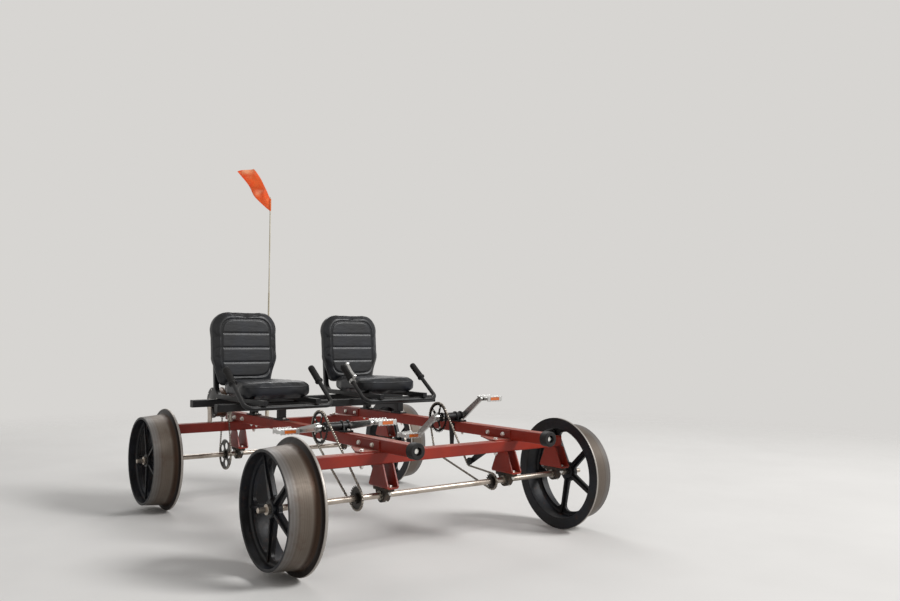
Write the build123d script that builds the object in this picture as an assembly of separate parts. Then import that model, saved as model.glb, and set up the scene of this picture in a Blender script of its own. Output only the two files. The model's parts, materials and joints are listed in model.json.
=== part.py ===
from build123d import *
from math import asin, atan2, cos, degrees, hypot, pi, radians, sin, tan
import os

# Pedal rail cart for two riders side by side, on four flanged wheels.
# Millimetres. +X is forward, +Y is left, +Z is up. The origin is on the ground
# under the middle of the wheelbase, and the cart stands on its wheel flanges.

# Wheels: cast, with a flange, a coned tread and five ribbed spokes in a deep dish
wheelbase = 1530.0
back_to_back = 1396.0
tread_radius = 239.0
tread_cone = 10.5
flange_radius = 267.5
flange_thickness = 16.0
flange_tip_width = 12.0
flange_tip_round = 4.0
flange_root_round = 16.0
wheel_width = 136.0
rim_thickness = 23.5
rim_edge_round = 4.0
web_inset = 52.0
web_thickness = 13.0
web_ring_width = 22.0
web_corner_round = 12.0
hub_radius = 35.0
hub_inboard = 17.0
hub_outboard = 27.0
hub_chamfer = 3.0
hub_ring_width = 12.0
spoke_count = 5
spoke_first_angle = 43.0
spoke_hub_width = 34.0
spoke_rim_width = 26.0
spoke_inner_round = 8.0
spoke_outer_round = 26.0
spoke_rib_thickness = 9.0
spoke_rib_inboard = (28.0, 9.0)
spoke_rib_outboard = (15.0, 5.0)

# Axles, each a turned bar with a collar outside the wheel and a free end
axle_radius = 12.7
axle_collar_radius = 21.0
axle_collar_length = 12.0
axle_stub_radius = 10.5
axle_stub_length = 34.0
axle_chamfer = 2.0
axle_collar_chamfer = 1.0
axle_z = flange_radius
front_axle_x = wheelbase / 2
rear_axle_x = -wheelbase / 2

# Square tube of the chassis
tube_side = 50.8
tube_wall = 3.2
tube_corner = 5.0
tube_cap_thickness = 3.0
cross_bottom_z = 399.0
cross_top_z = cross_bottom_z + tube_side
beam_top_z = cross_top_z + tube_side
cross_half_length = 708.0
beam_front_x = 990.0
beam_rear_x = -880.0

# Two equal seat and pedal modules, side by side
module_centre_y = 357.0
beam_offset_y = 53.0
chain_offset_y = -69.0
module_shift_x = {"right": 0.0, "left": -100.0}

# Rubber bumpers on the front ends of the beams
bumper_radius = 34.0
bumper_length = 38.0
bumper_round = 5.0
bumper_recess_radius = 17.0
bumper_recess_depth = 20.0

# Bearing hangers under the cross beams, folded from plate and open to the front and rear
hanger_top_length = 68.0
hanger_foot_length = 146.0
hanger_width = 56.0
hanger_plate = 6.0
hanger_bend = 10.0
hanger_ys = {"right": (-684.0, -296.0), "left": (376.0, 684.0)}

# Pillow block bearings, bolted upside down under the hangers
bearing_base_height = 33.0
bearing_base_thickness = 13.0
bearing_base_length = 126.0
bearing_base_width = 38.0
bearing_base_round = 14.0
bearing_housing_radius = 30.0
bearing_housing_width = 30.0
bearing_shoulder_length = 84.0
bearing_shoulder_drop = 2.0
bearing_insert_radius = 19.7
bearing_insert_width = 44.0
bearing_bolt_spacing = 96.0
running_clearance = 0.08

# Holes for the bolts, which are 10 mm thick, and how far a cut runs past its face
bolt_hole_radius = 5.4
overcut = 1.0

# Gusseted angle brackets that bolt the beams to the cross beams
bracket_upright = 44.0
bracket_foot_width = 92.0
bracket_toe_width = 26.0
bracket_plate = 6.0
bracket_length = 190.0
bracket_overhang = 21.0
bracket_bolt_xs = (-137.0, -28.0)
bracket_bolt_z = 23.0
bracket_foot_bolt = 74.0

# Chain drives, half inch pitch
chain_pitch = 12.7
chain_half_height = 4.3
chain_waist_half_height = 3.0
chain_inner_half_height = 3.65
chain_width = 8.0
chain_slot = 3.4
chain_slot_reach = 5.0
roller_radius = 3.9
tooth_height = 2.4
tooth_root_share = 0.3
tooth_tip_share = 0.12
sprocket_thickness = 2.2
chainring_teeth = 36
front_teeth = {"right": 24, "left": 18}
rear_teeth = 40
motor_teeth = 16
sprocket_hub_width = 22.0
sprocket_hub_wall = 9.0
rear_sprocket_holes = 5
rear_sprocket_hole_share = 0.34
idler_radius = 17.0
idler_width = 10.0
idler_clearance = 0.3
idler_pin_radius = 5.0
idler_arm_plate = 5.0
idler_arm_gap = 4.0
idler_groove_width = 2.0
idler_groove_depth = 3.0
idler_pin_end = 9.0
idler_eye_wall = 7.0
idler_lug_length = 20.0
idler_lug_drop = 8.0
idler_lug_height = 12.0
idler_front_lug = (4.0, 40.0)
front_idler_x = -164.0
front_idler_z = 339.0
rear_idler_x = -430.0
rear_idler_z = 368.0

# Cranks
crank_length = 165.0
crank_axle_base_x = 445.0
crank_angle = {"right": 9.0, "left": 35.0}
bb_shell_radius = 20.0
bb_shell_length = 106.0
bb_shell_shift = 10.0
bb_cup_radius = 22.5
bb_cup_length = 6.0
bb_saddle_length = 96.0
bb_saddle_width = 44.0
bb_saddle_height = 8.0
bb_saddle_corner = 6.0
bb_cheek_inset = 18.0
bb_cheek_wall = 5.0
bb_cheek_thickness = 6.0
bb_shell_seat = 3.0
crank_axle_z = beam_top_z + bb_saddle_height + bb_shell_radius - bb_shell_seat
crank_spindle_radius = 9.0
crank_boss_radius = 17.0
crank_end_radius = 12.5
crank_arm_thickness = 14.0
crank_edge_round = 3.0
crank_half_span = 92.0
crank_cap_radius = 9.0
crank_cap_height = 3.0
chainring_rim_width = 9.0
chainring_arm_count = 5
chainring_arm_width = 13.0
chainring_opening_round = 4.0
chainring_centre_radius = 24.0
chainring_carrier_radius = 20.0
pedal_pin_radius = 5.0
pedal_collar_radius = 8.0
pedal_collar_gap = 2.0

# Pedals: an alloy cage round a barrel, with a reflector front and back
pedal_length = 92.0
pedal_width = 84.0
pedal_height = 24.0
pedal_end_height = 14.4
pedal_gap = 7.0
pedal_plate = 3.5
pedal_barrel_radius = 11.0
pedal_spine = 12.0
pedal_notch_count = 5
pedal_notch_radius = 7.0
pedal_notch_middle = 16.2
pedal_notch_spacing = 17.0
reflector_length = 54.0
reflector_height = 15.0
reflector_depth = 6.0

# Seats: a wide pan and a high back that narrows to its foot
seat_width = 410.0
seat_foot_width = 300.0
seat_pan_rear_x = -505.0
seat_pan_length = 430.0
seat_pan_bottom_z = 618.0
seat_pan_thickness = 74.0
seat_pan_corner = 95.0
seat_back_thickness = 70.0
seat_back_height = 434.0
seat_back_recline = 6.0
seat_back_corner = 118.0
seat_back_gap = 6.0
seat_back_foot_z = seat_pan_bottom_z + 30.0
seat_flare_length = 150.0
seat_edge_round = 24.0
seat_foot_round = 45.0
seat_clearance = 0.3

# Seat frame: two tubes across the beams, and a pair of bent rails under each seat
seat_rail_side = 25.0
seat_rail_bend = 60.0
seat_rail_corner = 3.0
seat_rail_height = 340.0
seat_rail_offset_y = 140.0
seat_rail_front_gap = 8.0
seat_cross_side = 38.0
seat_cross_wall = 2.5
seat_cross_corner = 4.0
seat_cross_length = 1300.0
seat_cross_front_x = -200.0
seat_cross_rear_x = -540.0
seat_upright_side = 38.0
seat_foot_plate = (92.0, 50.0, 6.0)
seat_foot_corner = 5.0

# Hand bars and grips: a bent tube under each seat that leans back beside it
grip_tube_radius = 11.0
grip_rubber_radius = 16.0
grip_rubber_length = 120.0
grip_flange_radius = 20.0
grip_flange_length = 6.0
grip_flange_offset = 8.0
grip_end_wall = 4.0
grip_edge_round = 4.0
grip_length = 305.0
grip_lean = 54.0
grip_seat_gap = 17.0
grip_offset_y = seat_width / 2 + grip_seat_gap + grip_tube_radius
grip_root_x = 15.0
hand_bar_bend = 42.0
grip_root_z = seat_pan_bottom_z - seat_rail_side - grip_tube_radius

# Brake lever on the left seat's inner grip
lever_clamp_wall = 6.0
lever_clamp_length = 18.0
lever_clamp_gap = 14.0
lever_reach = 28.0
lever_thickness = 7.0
lever_width = 12.0
lever_length = 104.0
lever_tip_radius = 8.0
lever_bend = 3.0
lever_bend_radius = 40.0
lever_edge_round = 2.0
lever_block_sink = 4.0
lever_block_width = 10.0
lever_block_length = 14.0
lever_pin_radius = 7.0
lever_pin_length = 15.0

# Drive motor over the rear axle
motor_radius = 84.0
motor_width = 60.0
motor_rim_width = 7.0
motor_groove_depth = 6.0
motor_cover_radius = 62.0
motor_cover_proud = 7.0
motor_boss_radius = 24.0
motor_x = -775.0
motor_y = -418.0
motor_z = 556.0
motor_axle_radius = 7.0
motor_axle_reach = 70.0
motor_axle_end = 12.0
motor_plate_thickness = 6.0
motor_plate_half_width = 24.0
motor_plate_gap = 9.0
motor_chain_gap = 22.0
motor_plate_foot = 12.0
rear_chain_y = -372.0

# Flag on a whip pole between the seats
pole_radius = 5.0
pole_tip_radius = 3.5
pole_joint_z = 1180.0
pole_top_reach = 10.0
pole_x = rear_axle_x
pole_y = -126.0
pole_socket_radius = 11.0
pole_socket_height = 60.0
flag_middle_z = 1693.0
flag_hoist_height = 70.0
flag_fly_height = 104.0
flag_length = 269.0
flag_heading = 216.0
flag_rise = 52.0
flag_twist = 84.0
flag_twist_power = 2 / 3
flag_wave = 14.0
flag_thickness = 2.0
flag_hem = 1.5
flag_stations = 7

sides = {"right": -1, "left": 1}
axle_xs = {"front": front_axle_x, "rear": rear_axle_x}
nodes = {}


def pitch_radius(teeth):
    return chain_pitch / (2 * sin(pi / teeth))


def tip_radius(teeth):
    return pitch_radius(teeth) + tooth_height


def module_y(side):
    return sides[side] * module_centre_y


def chain_y(side):
    return module_y(side) + chain_offset_y


def crank_x(side):
    return crank_axle_base_x + module_shift_x[side]


def beam_y(side):
    return module_y(side) + beam_offset_y


def around(middle, length):
    return (middle - length / 2, middle + length / 2)


def polygon(points):
    return make_face(Polyline(points, close=True))


def rounded_polygon(points, radii):
    return make_face(FilletPolyline(points, radius=radii, close=True))


def block(x_range, y_range, z_range):
    ranges = (x_range, y_range, z_range)
    size = [high - low for low, high in ranges]
    centre = [(low + high) / 2 for low, high in ranges]
    return Pos(*centre) * Box(*size)


def prism_x(outline, x_range):
    """An outline drawn in Y and Z, raised along X."""
    return Pos(x_range[0], 0, 0) * extrude(Plane.YZ * outline, x_range[1] - x_range[0])


def prism_y(outline, y_range):
    """An outline drawn in X and Z, raised along Y."""
    return Pos(0, y_range[1], 0) * extrude(Plane.XZ * outline, y_range[1] - y_range[0])


def prism_z(outline, z_range):
    """An outline drawn in X and Y, raised along Z."""
    return Pos(0, 0, z_range[0]) * extrude(outline, z_range[1] - z_range[0])


def rod_x(radius, x_range, y, z):
    return Pos(0, y, z) * prism_x(Circle(radius), x_range)


def rod_y(radius, y_range, x, z):
    return Pos(x, 0, z) * prism_y(Circle(radius), y_range)


def rod_z(radius, z_range, x, y):
    return Pos(x, y, 0) * prism_z(Circle(radius), z_range)


def square_tube(side, length, wall=tube_wall, corner=tube_corner):
    """A capped square tube along Z, centred on the origin."""
    outer = RectangleRounded(side, side, corner)
    inner = RectangleRounded(side - 2 * wall, side - 2 * wall, max(corner - wall, wall / 2))
    half = length / 2
    caps = prism_z(outer, (-half, -half + tube_cap_thickness))
    caps += prism_z(outer, (half - tube_cap_thickness, half))
    return prism_z(outer - inner, (-half, half)) + caps


def spoke_openings(inner_radius, outer_radius, count, widths, rounds, first_angle=0.0):
    """Rounded openings between straight spokes, with the widths and rounds given from the hub outwards."""
    reach = 1.2 * outer_radius
    root, tip = widths[0] / 2, widths[1] / 2
    spoke = polygon([(0, -root), (reach, -tip), (reach, tip), (0, root)])
    openings = Circle(outer_radius) - Circle(inner_radius)
    for number in range(count):
        openings -= Rot(0, 0, first_angle + number * 360 / count) * spoke
    middle = (inner_radius + outer_radius) / 2
    openings = fillet([v for v in openings.vertices() if Vector(v).length > middle], rounds[1])
    return fillet([v for v in openings.vertices() if Vector(v).length < middle], rounds[0])


def wheel():
    """The left wheel with its centre on the Y axis, at its own place along it."""
    flange_y = back_to_back / 2
    outboard_y = flange_y + wheel_width
    web_y = outboard_y - web_inset
    bore_radius = tread_radius - rim_thickness
    web_low = web_y - web_thickness / 2
    web_high = web_y + web_thickness / 2
    corners = [
        ((bore_radius, flange_y), rim_edge_round),
        ((flange_radius, flange_y), flange_tip_round),
        ((flange_radius, flange_y + flange_tip_width), flange_tip_round),
        ((tread_radius, flange_y + flange_thickness), flange_root_round),
        ((tread_radius - tread_cone, outboard_y), rim_edge_round),
        ((bore_radius, outboard_y), rim_edge_round),
        ((bore_radius, web_high), web_corner_round),
        ((axle_radius, web_high), 0),
        ((axle_radius, web_low), 0),
        ((bore_radius, web_low), web_corner_round),
    ]
    section = rounded_polygon([point for point, _ in corners], [radius for _, radius in corners])
    body = revolve(section, Axis.Y)
    openings = spoke_openings(hub_radius + hub_ring_width, bore_radius - web_ring_width, spoke_count,
                              (spoke_hub_width, spoke_rim_width), (spoke_inner_round, spoke_outer_round),
                              spoke_first_angle)
    body -= prism_y(openings, around(web_y, 3 * web_thickness))
    hub = rod_y(hub_radius, (web_y - hub_inboard, web_y + hub_outboard), 0, 0)
    body += chamfer(hub.edges().filter_by(GeomType.CIRCLE), hub_chamfer)

    rib_root = hub_radius - hub_chamfer
    rib_tip = bore_radius + rim_thickness / 2
    deep_in, shallow_in = spoke_rib_inboard
    deep_out, shallow_out = spoke_rib_outboard
    deep_in = min(deep_in, hub_inboard - web_thickness / 2)
    deep_out = min(deep_out, hub_outboard - web_thickness / 2)
    rib = polygon([(rib_root, web_low - deep_in), (rib_tip, web_low - shallow_in),
                   (rib_tip, web_high + shallow_out), (rib_root, web_high + deep_out)])
    rib = prism_z(rib, around(0, spoke_rib_thickness))
    for number in range(spoke_count):
        body += Rot(0, -spoke_first_angle - number * 360 / spoke_count, 0) * rib
    return body - rod_y(axle_radius, (flange_y, outboard_y), 0, 0)


def axle():
    """An axle with its middle at the origin, symmetrical in Y."""
    hub_face = back_to_back / 2 + wheel_width - web_inset + hub_outboard
    collar_face = hub_face + axle_collar_length
    half = collar_face + axle_stub_length
    body = rod_y(axle_radius, (-collar_face, collar_face), 0, 0)
    body += rod_y(axle_stub_radius, (-half, half), 0, 0)
    ends = body.edges().filter_by(GeomType.CIRCLE).group_by(Axis.Y)
    body = chamfer([*ends[0], *ends[-1]], axle_chamfer)
    for sign in (-1, 1):
        collar = rod_y(axle_collar_radius, sorted((sign * hub_face, sign * collar_face)), 0, 0)
        body += chamfer(collar.edges().filter_by(GeomType.CIRCLE), axle_collar_chamfer)
    return body


def tooth_outline(teeth, phase):
    """The outline of a chain wheel, with room for a roller in the gap at the phase angle."""
    root = pitch_radius(teeth) - roller_radius
    tip = tip_radius(teeth)
    corners = ((-tooth_root_share, root), (-tooth_tip_share, tip),
               (tooth_tip_share, tip), (tooth_root_share, root))
    points = []
    for number in range(teeth):
        for share, radius in corners:
            angle = radians(phase) + 2 * pi * (number + 0.5 + share) / teeth
            points.append((radius * cos(angle), radius * sin(angle)))
    return polygon(points)


def sprocket(teeth, phase, y, x, z, bore_radius, holes=0):
    """A toothed wheel on a hub, with round holes in its disc where it is large."""
    disc = tooth_outline(teeth, phase)
    hub = bore_radius + sprocket_hub_wall
    if holes:
        root = pitch_radius(teeth) - roller_radius
        hole_radius = (root - hub) * rear_sprocket_hole_share
        hole_place = (root + hub) / 2
        for number in range(holes):
            turned = Rot(0, 0, number * 360 / holes) * Pos(hole_place, 0)
            disc -= turned * Circle(hole_radius)
    body = prism_y(disc, around(y, sprocket_thickness))
    body += rod_y(hub, around(y, sprocket_hub_width), 0, 0)
    body -= rod_y(bore_radius, around(y, 2 * sprocket_hub_width), 0, 0)
    return Pos(x, 0, z) * body


def tangent_points(first, second):
    """Where a chain run leaves one wheel and meets the next; a turn of -1 is a wheel outside the loop."""
    (x1, z1, r1, turn1), (x2, z2, r2, turn2) = first, second
    distance = hypot(x2 - x1, z2 - z1)
    heading = atan2(z2 - z1, x2 - x1)
    angle = heading - asin((turn1 * r1 - turn2 * r2) / distance)
    nx, nz = -sin(angle), cos(angle)
    start = (x1 + turn1 * r1 * nx, z1 + turn1 * r1 * nz)
    end = (x2 + turn2 * r2 * nx, z2 + turn2 * r2 * nz)
    return start, end


def chain_stretches(wheels):
    """The straight and curved stretches of a pitch line, run clockwise, each with its length."""
    runs = [tangent_points(a, b) for a, b in zip(wheels, wheels[1:] + wheels[:1])]
    stretches = []
    for index, (x, z, r, turn) in enumerate(wheels):
        arrive = runs[index - 1][1]
        leave = runs[index][0]
        start = atan2(arrive[1] - z, arrive[0] - x)
        sweep = (atan2(leave[1] - z, leave[0] - x) - start) * -turn % (2 * pi)

        def bend(share, x=x, z=z, r=r, turn=turn, start=start, sweep=sweep):
            angle = start - turn * sweep * share
            nx, nz = cos(angle), sin(angle)
            return (x + r * nx, z + r * nz), (turn * nx, turn * nz)

        (x1, z1), (x2, z2) = runs[index]
        length = hypot(x2 - x1, z2 - z1)

        def run(share, x1=x1, z1=z1, x2=x2, z2=z2, length=length):
            normal = ((z1 - z2) / length, (x2 - x1) / length)
            return (x1 + (x2 - x1) * share, z1 + (z2 - z1) * share), normal

        stretches += [(r * sweep, bend), (length, run)]
    return stretches


def roller_phase(wheels, index):
    """The angle at which a roller lies in the middle of the chain's bend round one wheel."""
    stretches = chain_stretches(wheels)
    pitch = sum(length for length, _ in stretches)
    pitch /= round(pitch / chain_pitch)
    before = sum(length for length, _ in stretches[:2 * index])
    bend_length, place = stretches[2 * index]
    roller = round((before + bend_length / 2) / pitch) * pitch
    (x, z), _ = place((roller - before) / bend_length)
    return degrees(atan2(z - wheels[index][1], x - wheels[index][0]))


def chain_loop(wheels, toothed, y):
    """A closed chain, waisted on its outer side and parted into two rows of plates where teeth run."""
    stretches = chain_stretches(wheels)
    total = sum(length for length, _ in stretches)
    links = round(total / chain_pitch)
    outer, inner = [], []
    done = 0.0
    index = 0
    for step in range(2 * links):
        along = step * total / (2 * links)
        while along > done + stretches[index][0]:
            done += stretches[index][0]
            index += 1
        length, place = stretches[index]
        (x, z), (nx, nz) = place((along - done) / length)
        half = chain_waist_half_height if step % 2 else chain_half_height
        outer.append((x + nx * half, z + nz * half))
        if step % 2 == 0:
            inner.append((x - nx * chain_inner_half_height, z - nz * chain_inner_half_height))
    loop = prism_y(polygon(outer), around(y, chain_width))
    loop -= prism_y(polygon(inner), around(y, 2 * chain_width))
    for x, z, teeth in toothed:
        loop -= rod_y(pitch_radius(teeth) + chain_slot_reach, around(y, chain_slot), x, z)
    return loop


def hanger(x, y):
    """A folded channel, tapered in side view, with its two plates along the cart and its foot below."""
    foot_z = axle_z + bearing_base_height
    height = cross_bottom_z - foot_z
    outer = rounded_polygon([(-hanger_width / 2, 0), (hanger_width / 2, 0),
                             (hanger_width / 2, height), (-hanger_width / 2, height)],
                            [hanger_bend, hanger_bend, 0, 0])
    inner_half = hanger_width / 2 - hanger_plate
    inner = rounded_polygon([(-inner_half, hanger_plate), (inner_half, hanger_plate),
                             (inner_half, height + overcut), (-inner_half, height + overcut)],
                            [hanger_bend - hanger_plate, hanger_bend - hanger_plate, 0, 0])
    channel = prism_x(outer - inner, around(0, hanger_foot_length))
    knee = hanger_plate * 2
    taper = polygon([(-hanger_foot_length / 2, 0), (hanger_foot_length / 2, 0),
                     (hanger_foot_length / 2, knee), (hanger_top_length / 2, height),
                     (-hanger_top_length / 2, height), (-hanger_foot_length / 2, knee)])
    channel &= prism_y(taper, around(0, hanger_width))
    for x_bolt in around(0, bearing_bolt_spacing):
        channel -= rod_z(bolt_hole_radius, (-overcut, hanger_plate + overcut), x_bolt, 0)
    return Pos(x, y, foot_z) * channel


def bearing(x, y):
    """A pillow block hung under its foot, with its insert and two bolt holes."""
    top = bearing_base_height
    half_shoulder = bearing_shoulder_length / 2
    base = prism_z(RectangleRounded(bearing_base_length, bearing_base_width, bearing_base_round),
                   (top - bearing_base_thickness, top))
    shoulder_top = top - bearing_shoulder_drop
    shoulder = make_hull(Circle(bearing_housing_radius).edges() + polygon([
        (-half_shoulder, top - bearing_base_thickness), (half_shoulder, top - bearing_base_thickness),
        (half_shoulder, shoulder_top), (-half_shoulder, shoulder_top)]).edges())
    body = base + prism_y(shoulder, around(0, bearing_housing_width))
    body += rod_y(bearing_insert_radius, around(0, bearing_insert_width), 0, 0)
    body -= rod_y(axle_radius + running_clearance, around(0, 2 * bearing_insert_width), 0, 0)
    for x_bolt in around(0, bearing_bolt_spacing):
        body -= rod_z(bolt_hole_radius, around(top, 3 * bearing_base_thickness), x_bolt, 0)
    return Pos(x, y, axle_z) * body


def crankset(side, phase):
    """Spindle, chainring and two opposite arms with their pedal pins, in one piece."""
    ring_y = chain_y(side) - module_y(side)
    span = crank_half_span + crank_arm_thickness / 2
    body = rod_y(crank_spindle_radius, (-span, span), 0, 0)
    root = pitch_radius(chainring_teeth) - roller_radius
    ring = tooth_outline(chainring_teeth, phase) - spoke_openings(
        chainring_centre_radius, root - chainring_rim_width, chainring_arm_count,
        (chainring_arm_width, chainring_arm_width), (chainring_opening_round, chainring_opening_round))
    body += prism_y(ring, around(ring_y, sprocket_thickness))
    body += rod_y(chainring_carrier_radius, sorted((ring_y, -crank_half_span)), 0, 0)
    arm_outline = make_hull(Circle(crank_boss_radius).edges()
                            + (Pos(crank_length, 0) * Circle(crank_end_radius)).edges())
    arm = prism_y(arm_outline, around(0, crank_arm_thickness))
    arm = fillet(arm.edges(), crank_edge_round)
    for sign in (-1, 1):
        turn = crank_angle[side] + (0 if sign > 0 else 180)
        face = sign * crank_arm_thickness / 2
        cap = rod_y(crank_cap_radius, sorted((0, face + sign * crank_cap_height)), 0, 0)
        pin_end = face + sign * (pedal_gap + pedal_length)
        pin = rod_y(pedal_pin_radius, sorted((0, pin_end)), crank_length, 0)
        collar_end = face + sign * (pedal_gap - pedal_collar_gap)
        collar = rod_y(pedal_collar_radius, sorted((0, collar_end)), crank_length, 0)
        body += Pos(0, sign * crank_half_span, 0) * Rot(0, -turn, 0) * (arm + cap + pin + collar)
    return Pos(crank_x(side), module_y(side), crank_axle_z) * body


def pedal():
    """A cage pedal centred on its pin: notched front and rear plates, two ends, a barrel and a spine."""
    half_width = pedal_width / 2
    plate = Rectangle(pedal_length, pedal_height)
    for number in range(pedal_notch_count):
        place = (number - (pedal_notch_count - 1) / 2) * pedal_notch_spacing
        for edge in (-pedal_notch_middle, pedal_notch_middle):
            plate -= Pos(place, edge) * Circle(pedal_notch_radius)
    body = rod_y(pedal_barrel_radius, around(0, pedal_length), 0, 0)
    end_z = around(0, pedal_end_height)
    body += block(around(0, pedal_width - 2 * pedal_plate), around(0, pedal_spine), end_z)
    for sign in (-1, 1):
        outer = sign * half_width
        body += prism_x(plate, sorted((outer - sign * pedal_plate, outer)))
        end = sign * pedal_length / 2
        body += block((-half_width, half_width), sorted((end - sign * pedal_plate, end)), end_z)
        body += block(sorted((outer - sign * (pedal_plate + reflector_depth), outer - sign * pedal_plate)),
                      around(0, reflector_length), around(0, reflector_height))
    return body - rod_y(pedal_pin_radius + running_clearance, around(0, 2 * pedal_length), 0, 0)


def bottom_bracket(side):
    """A bearing shell with screwed cups, held in two cheeks on a saddle plate on the beam."""
    shell_y = around(bb_shell_shift, bb_shell_length)
    body = rod_y(bb_shell_radius, shell_y, 0, 0)
    body += rod_y(bb_cup_radius, (shell_y[0] - bb_cup_length, shell_y[0]), 0, 0)
    body += rod_y(bb_cup_radius, (shell_y[1], shell_y[1] + bb_cup_length), 0, 0)
    saddle_z = beam_top_z - crank_axle_z
    saddle = RectangleRounded(bb_saddle_length, bb_saddle_width, bb_saddle_corner)
    body += Pos(0, beam_offset_y, 0) * prism_z(saddle, (saddle_z, saddle_z + bb_saddle_height))
    foot_half = bb_saddle_length / 2 - bb_cheek_inset
    cheek = make_hull(Circle(bb_shell_radius + bb_cheek_wall).edges() + polygon([
        (-foot_half, saddle_z), (foot_half, saddle_z),
        (foot_half, saddle_z + bb_saddle_height), (-foot_half, saddle_z + bb_saddle_height)]).edges())
    for sign in (-1, 1):
        cheek_y = beam_offset_y + sign * (bb_saddle_width / 2 - bb_cheek_thickness)
        body += prism_y(cheek, around(cheek_y, bb_cheek_thickness))
    bore_y = around(bb_shell_shift, 2 * bb_shell_length)
    bore = rod_y(crank_spindle_radius + running_clearance, bore_y, 0, 0)
    return Pos(crank_x(side), module_y(side), crank_axle_z) * (body - bore)


def seat_back_place(side):
    """The foot of the seat back's front face, leaned back."""
    x = seat_pan_rear_x - seat_back_gap + module_shift_x[side]
    return Pos(x, module_y(side), seat_back_foot_z) * Rot(0, -seat_back_recline, 0)


def seat_back():
    """The padded back with its front face on X = 0 and its foot on Z = 0."""
    half, foot = seat_width / 2, seat_foot_width / 2
    outline = rounded_polygon(
        [(-foot, 0), (foot, 0), (half, seat_flare_length),
         (half, seat_back_height), (-half, seat_back_height), (-half, seat_flare_length)],
        [seat_foot_round, seat_foot_round, *[seat_back_corner] * 4])
    return fillet(prism_x(outline, (-seat_back_thickness, 0)).edges(), seat_edge_round)


def seat_pan(side):
    half, foot = seat_width / 2, seat_foot_width / 2
    outline = rounded_polygon(
        [(0, -foot), (seat_flare_length, -half), (seat_pan_length, -half),
         (seat_pan_length, half), (seat_flare_length, half), (0, foot)],
        [seat_foot_round, *[seat_pan_corner] * 4, seat_foot_round])
    pad = fillet(prism_z(outline, (0, seat_pan_thickness)).edges(), seat_edge_round)
    rear_x = seat_pan_rear_x + module_shift_x[side]
    return Pos(rear_x, module_y(side), seat_pan_bottom_z + seat_clearance) * pad


def seat_rail(side):
    """One bent rail at Y = 0: along under the pan, then up behind the back."""
    shift = module_shift_x[side]
    lean = radians(seat_back_recline)
    rail_z = seat_pan_bottom_z - seat_rail_side / 2
    behind = (seat_back_thickness + seat_clearance + seat_rail_side / 2) / cos(lean)
    foot_x = seat_pan_rear_x - seat_back_gap + shift
    bend_x = foot_x - behind + (seat_back_foot_z - rail_z) * tan(lean)
    front_x = grip_root_x + grip_tube_radius + seat_rail_front_gap + shift
    path = FilletPolyline((front_x, 0, rail_z), (bend_x, 0, rail_z),
                          (bend_x - seat_rail_height * sin(lean), 0, rail_z + seat_rail_height * cos(lean)),
                          radius=seat_rail_bend)
    section = RectangleRounded(seat_rail_side, seat_rail_side, seat_rail_corner)
    return sweep(Plane(origin=path @ 0, z_dir=path % 0) * section, path)


def grip_frame(side, sign):
    """The root of one grip, with Z along it."""
    place = (grip_root_x + module_shift_x[side], module_y(side) + sign * grip_offset_y, grip_root_z)
    return Pos(*place) * Rot(0, -grip_lean, 0)


def hand_bar(side):
    """A tube bent into a wide U that leans back beside the seat, with a rubber grip on each end."""
    tips = [grip_frame(side, sign) * Pos(0, 0, grip_length) for sign in (-1, 1)]
    roots = [grip_frame(side, sign) for sign in (-1, 1)]
    path = FilletPolyline(tips[0].position, roots[0].position, roots[1].position, tips[1].position,
                          radius=hand_bar_bend)
    bar = sweep(Plane(origin=path @ 0, z_dir=path % 0) * Circle(grip_tube_radius), path)
    for sign in (-1, 1):
        rubber_start = grip_length - grip_rubber_length
        rubber = rod_z(grip_rubber_radius, (rubber_start, grip_length + grip_end_wall), 0, 0)
        rubber = fillet(rubber.edges().filter_by(GeomType.CIRCLE), grip_edge_round)
        flange_z = around(rubber_start + grip_flange_offset, grip_flange_length)
        rubber += rod_z(grip_flange_radius, flange_z, 0, 0)
        bar += grip_frame(side, sign) * rubber
    return bar


def brake_lever():
    """A split clamp on the grip's tube, with a pivot block and a curved blade."""
    clamp_z = grip_length - grip_rubber_length - lever_clamp_gap
    clamp_radius = grip_tube_radius + lever_clamp_wall
    body = rod_z(clamp_radius, around(clamp_z, lever_clamp_length), 0, 0)
    pivot_x = grip_tube_radius + lever_reach
    body += block((clamp_radius - lever_block_sink, pivot_x), around(0, lever_block_width),
                  around(clamp_z, lever_block_length))
    body += rod_y(lever_pin_radius, around(0, lever_pin_length), pivot_x, clamp_z)
    blade_top = clamp_z + lever_length
    blade = rounded_polygon(
        [(pivot_x - lever_thickness / 2, clamp_z), (pivot_x + lever_thickness / 2, clamp_z),
         (pivot_x + lever_thickness / 2 - lever_bend, clamp_z + lever_length / 2),
         (pivot_x + lever_thickness, blade_top), (pivot_x, blade_top),
         (pivot_x - lever_thickness / 2 - lever_bend, clamp_z + lever_length / 2)],
        [0, 0, lever_bend_radius, lever_edge_round, lever_edge_round, lever_bend_radius])
    body += prism_y(blade, around(0, lever_width))
    body += rod_y(lever_tip_radius, around(0, lever_width), pivot_x + lever_thickness / 2, blade_top)
    return body - rod_z(grip_tube_radius, around(clamp_z, 2 * lever_clamp_length), 0, 0)


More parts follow.
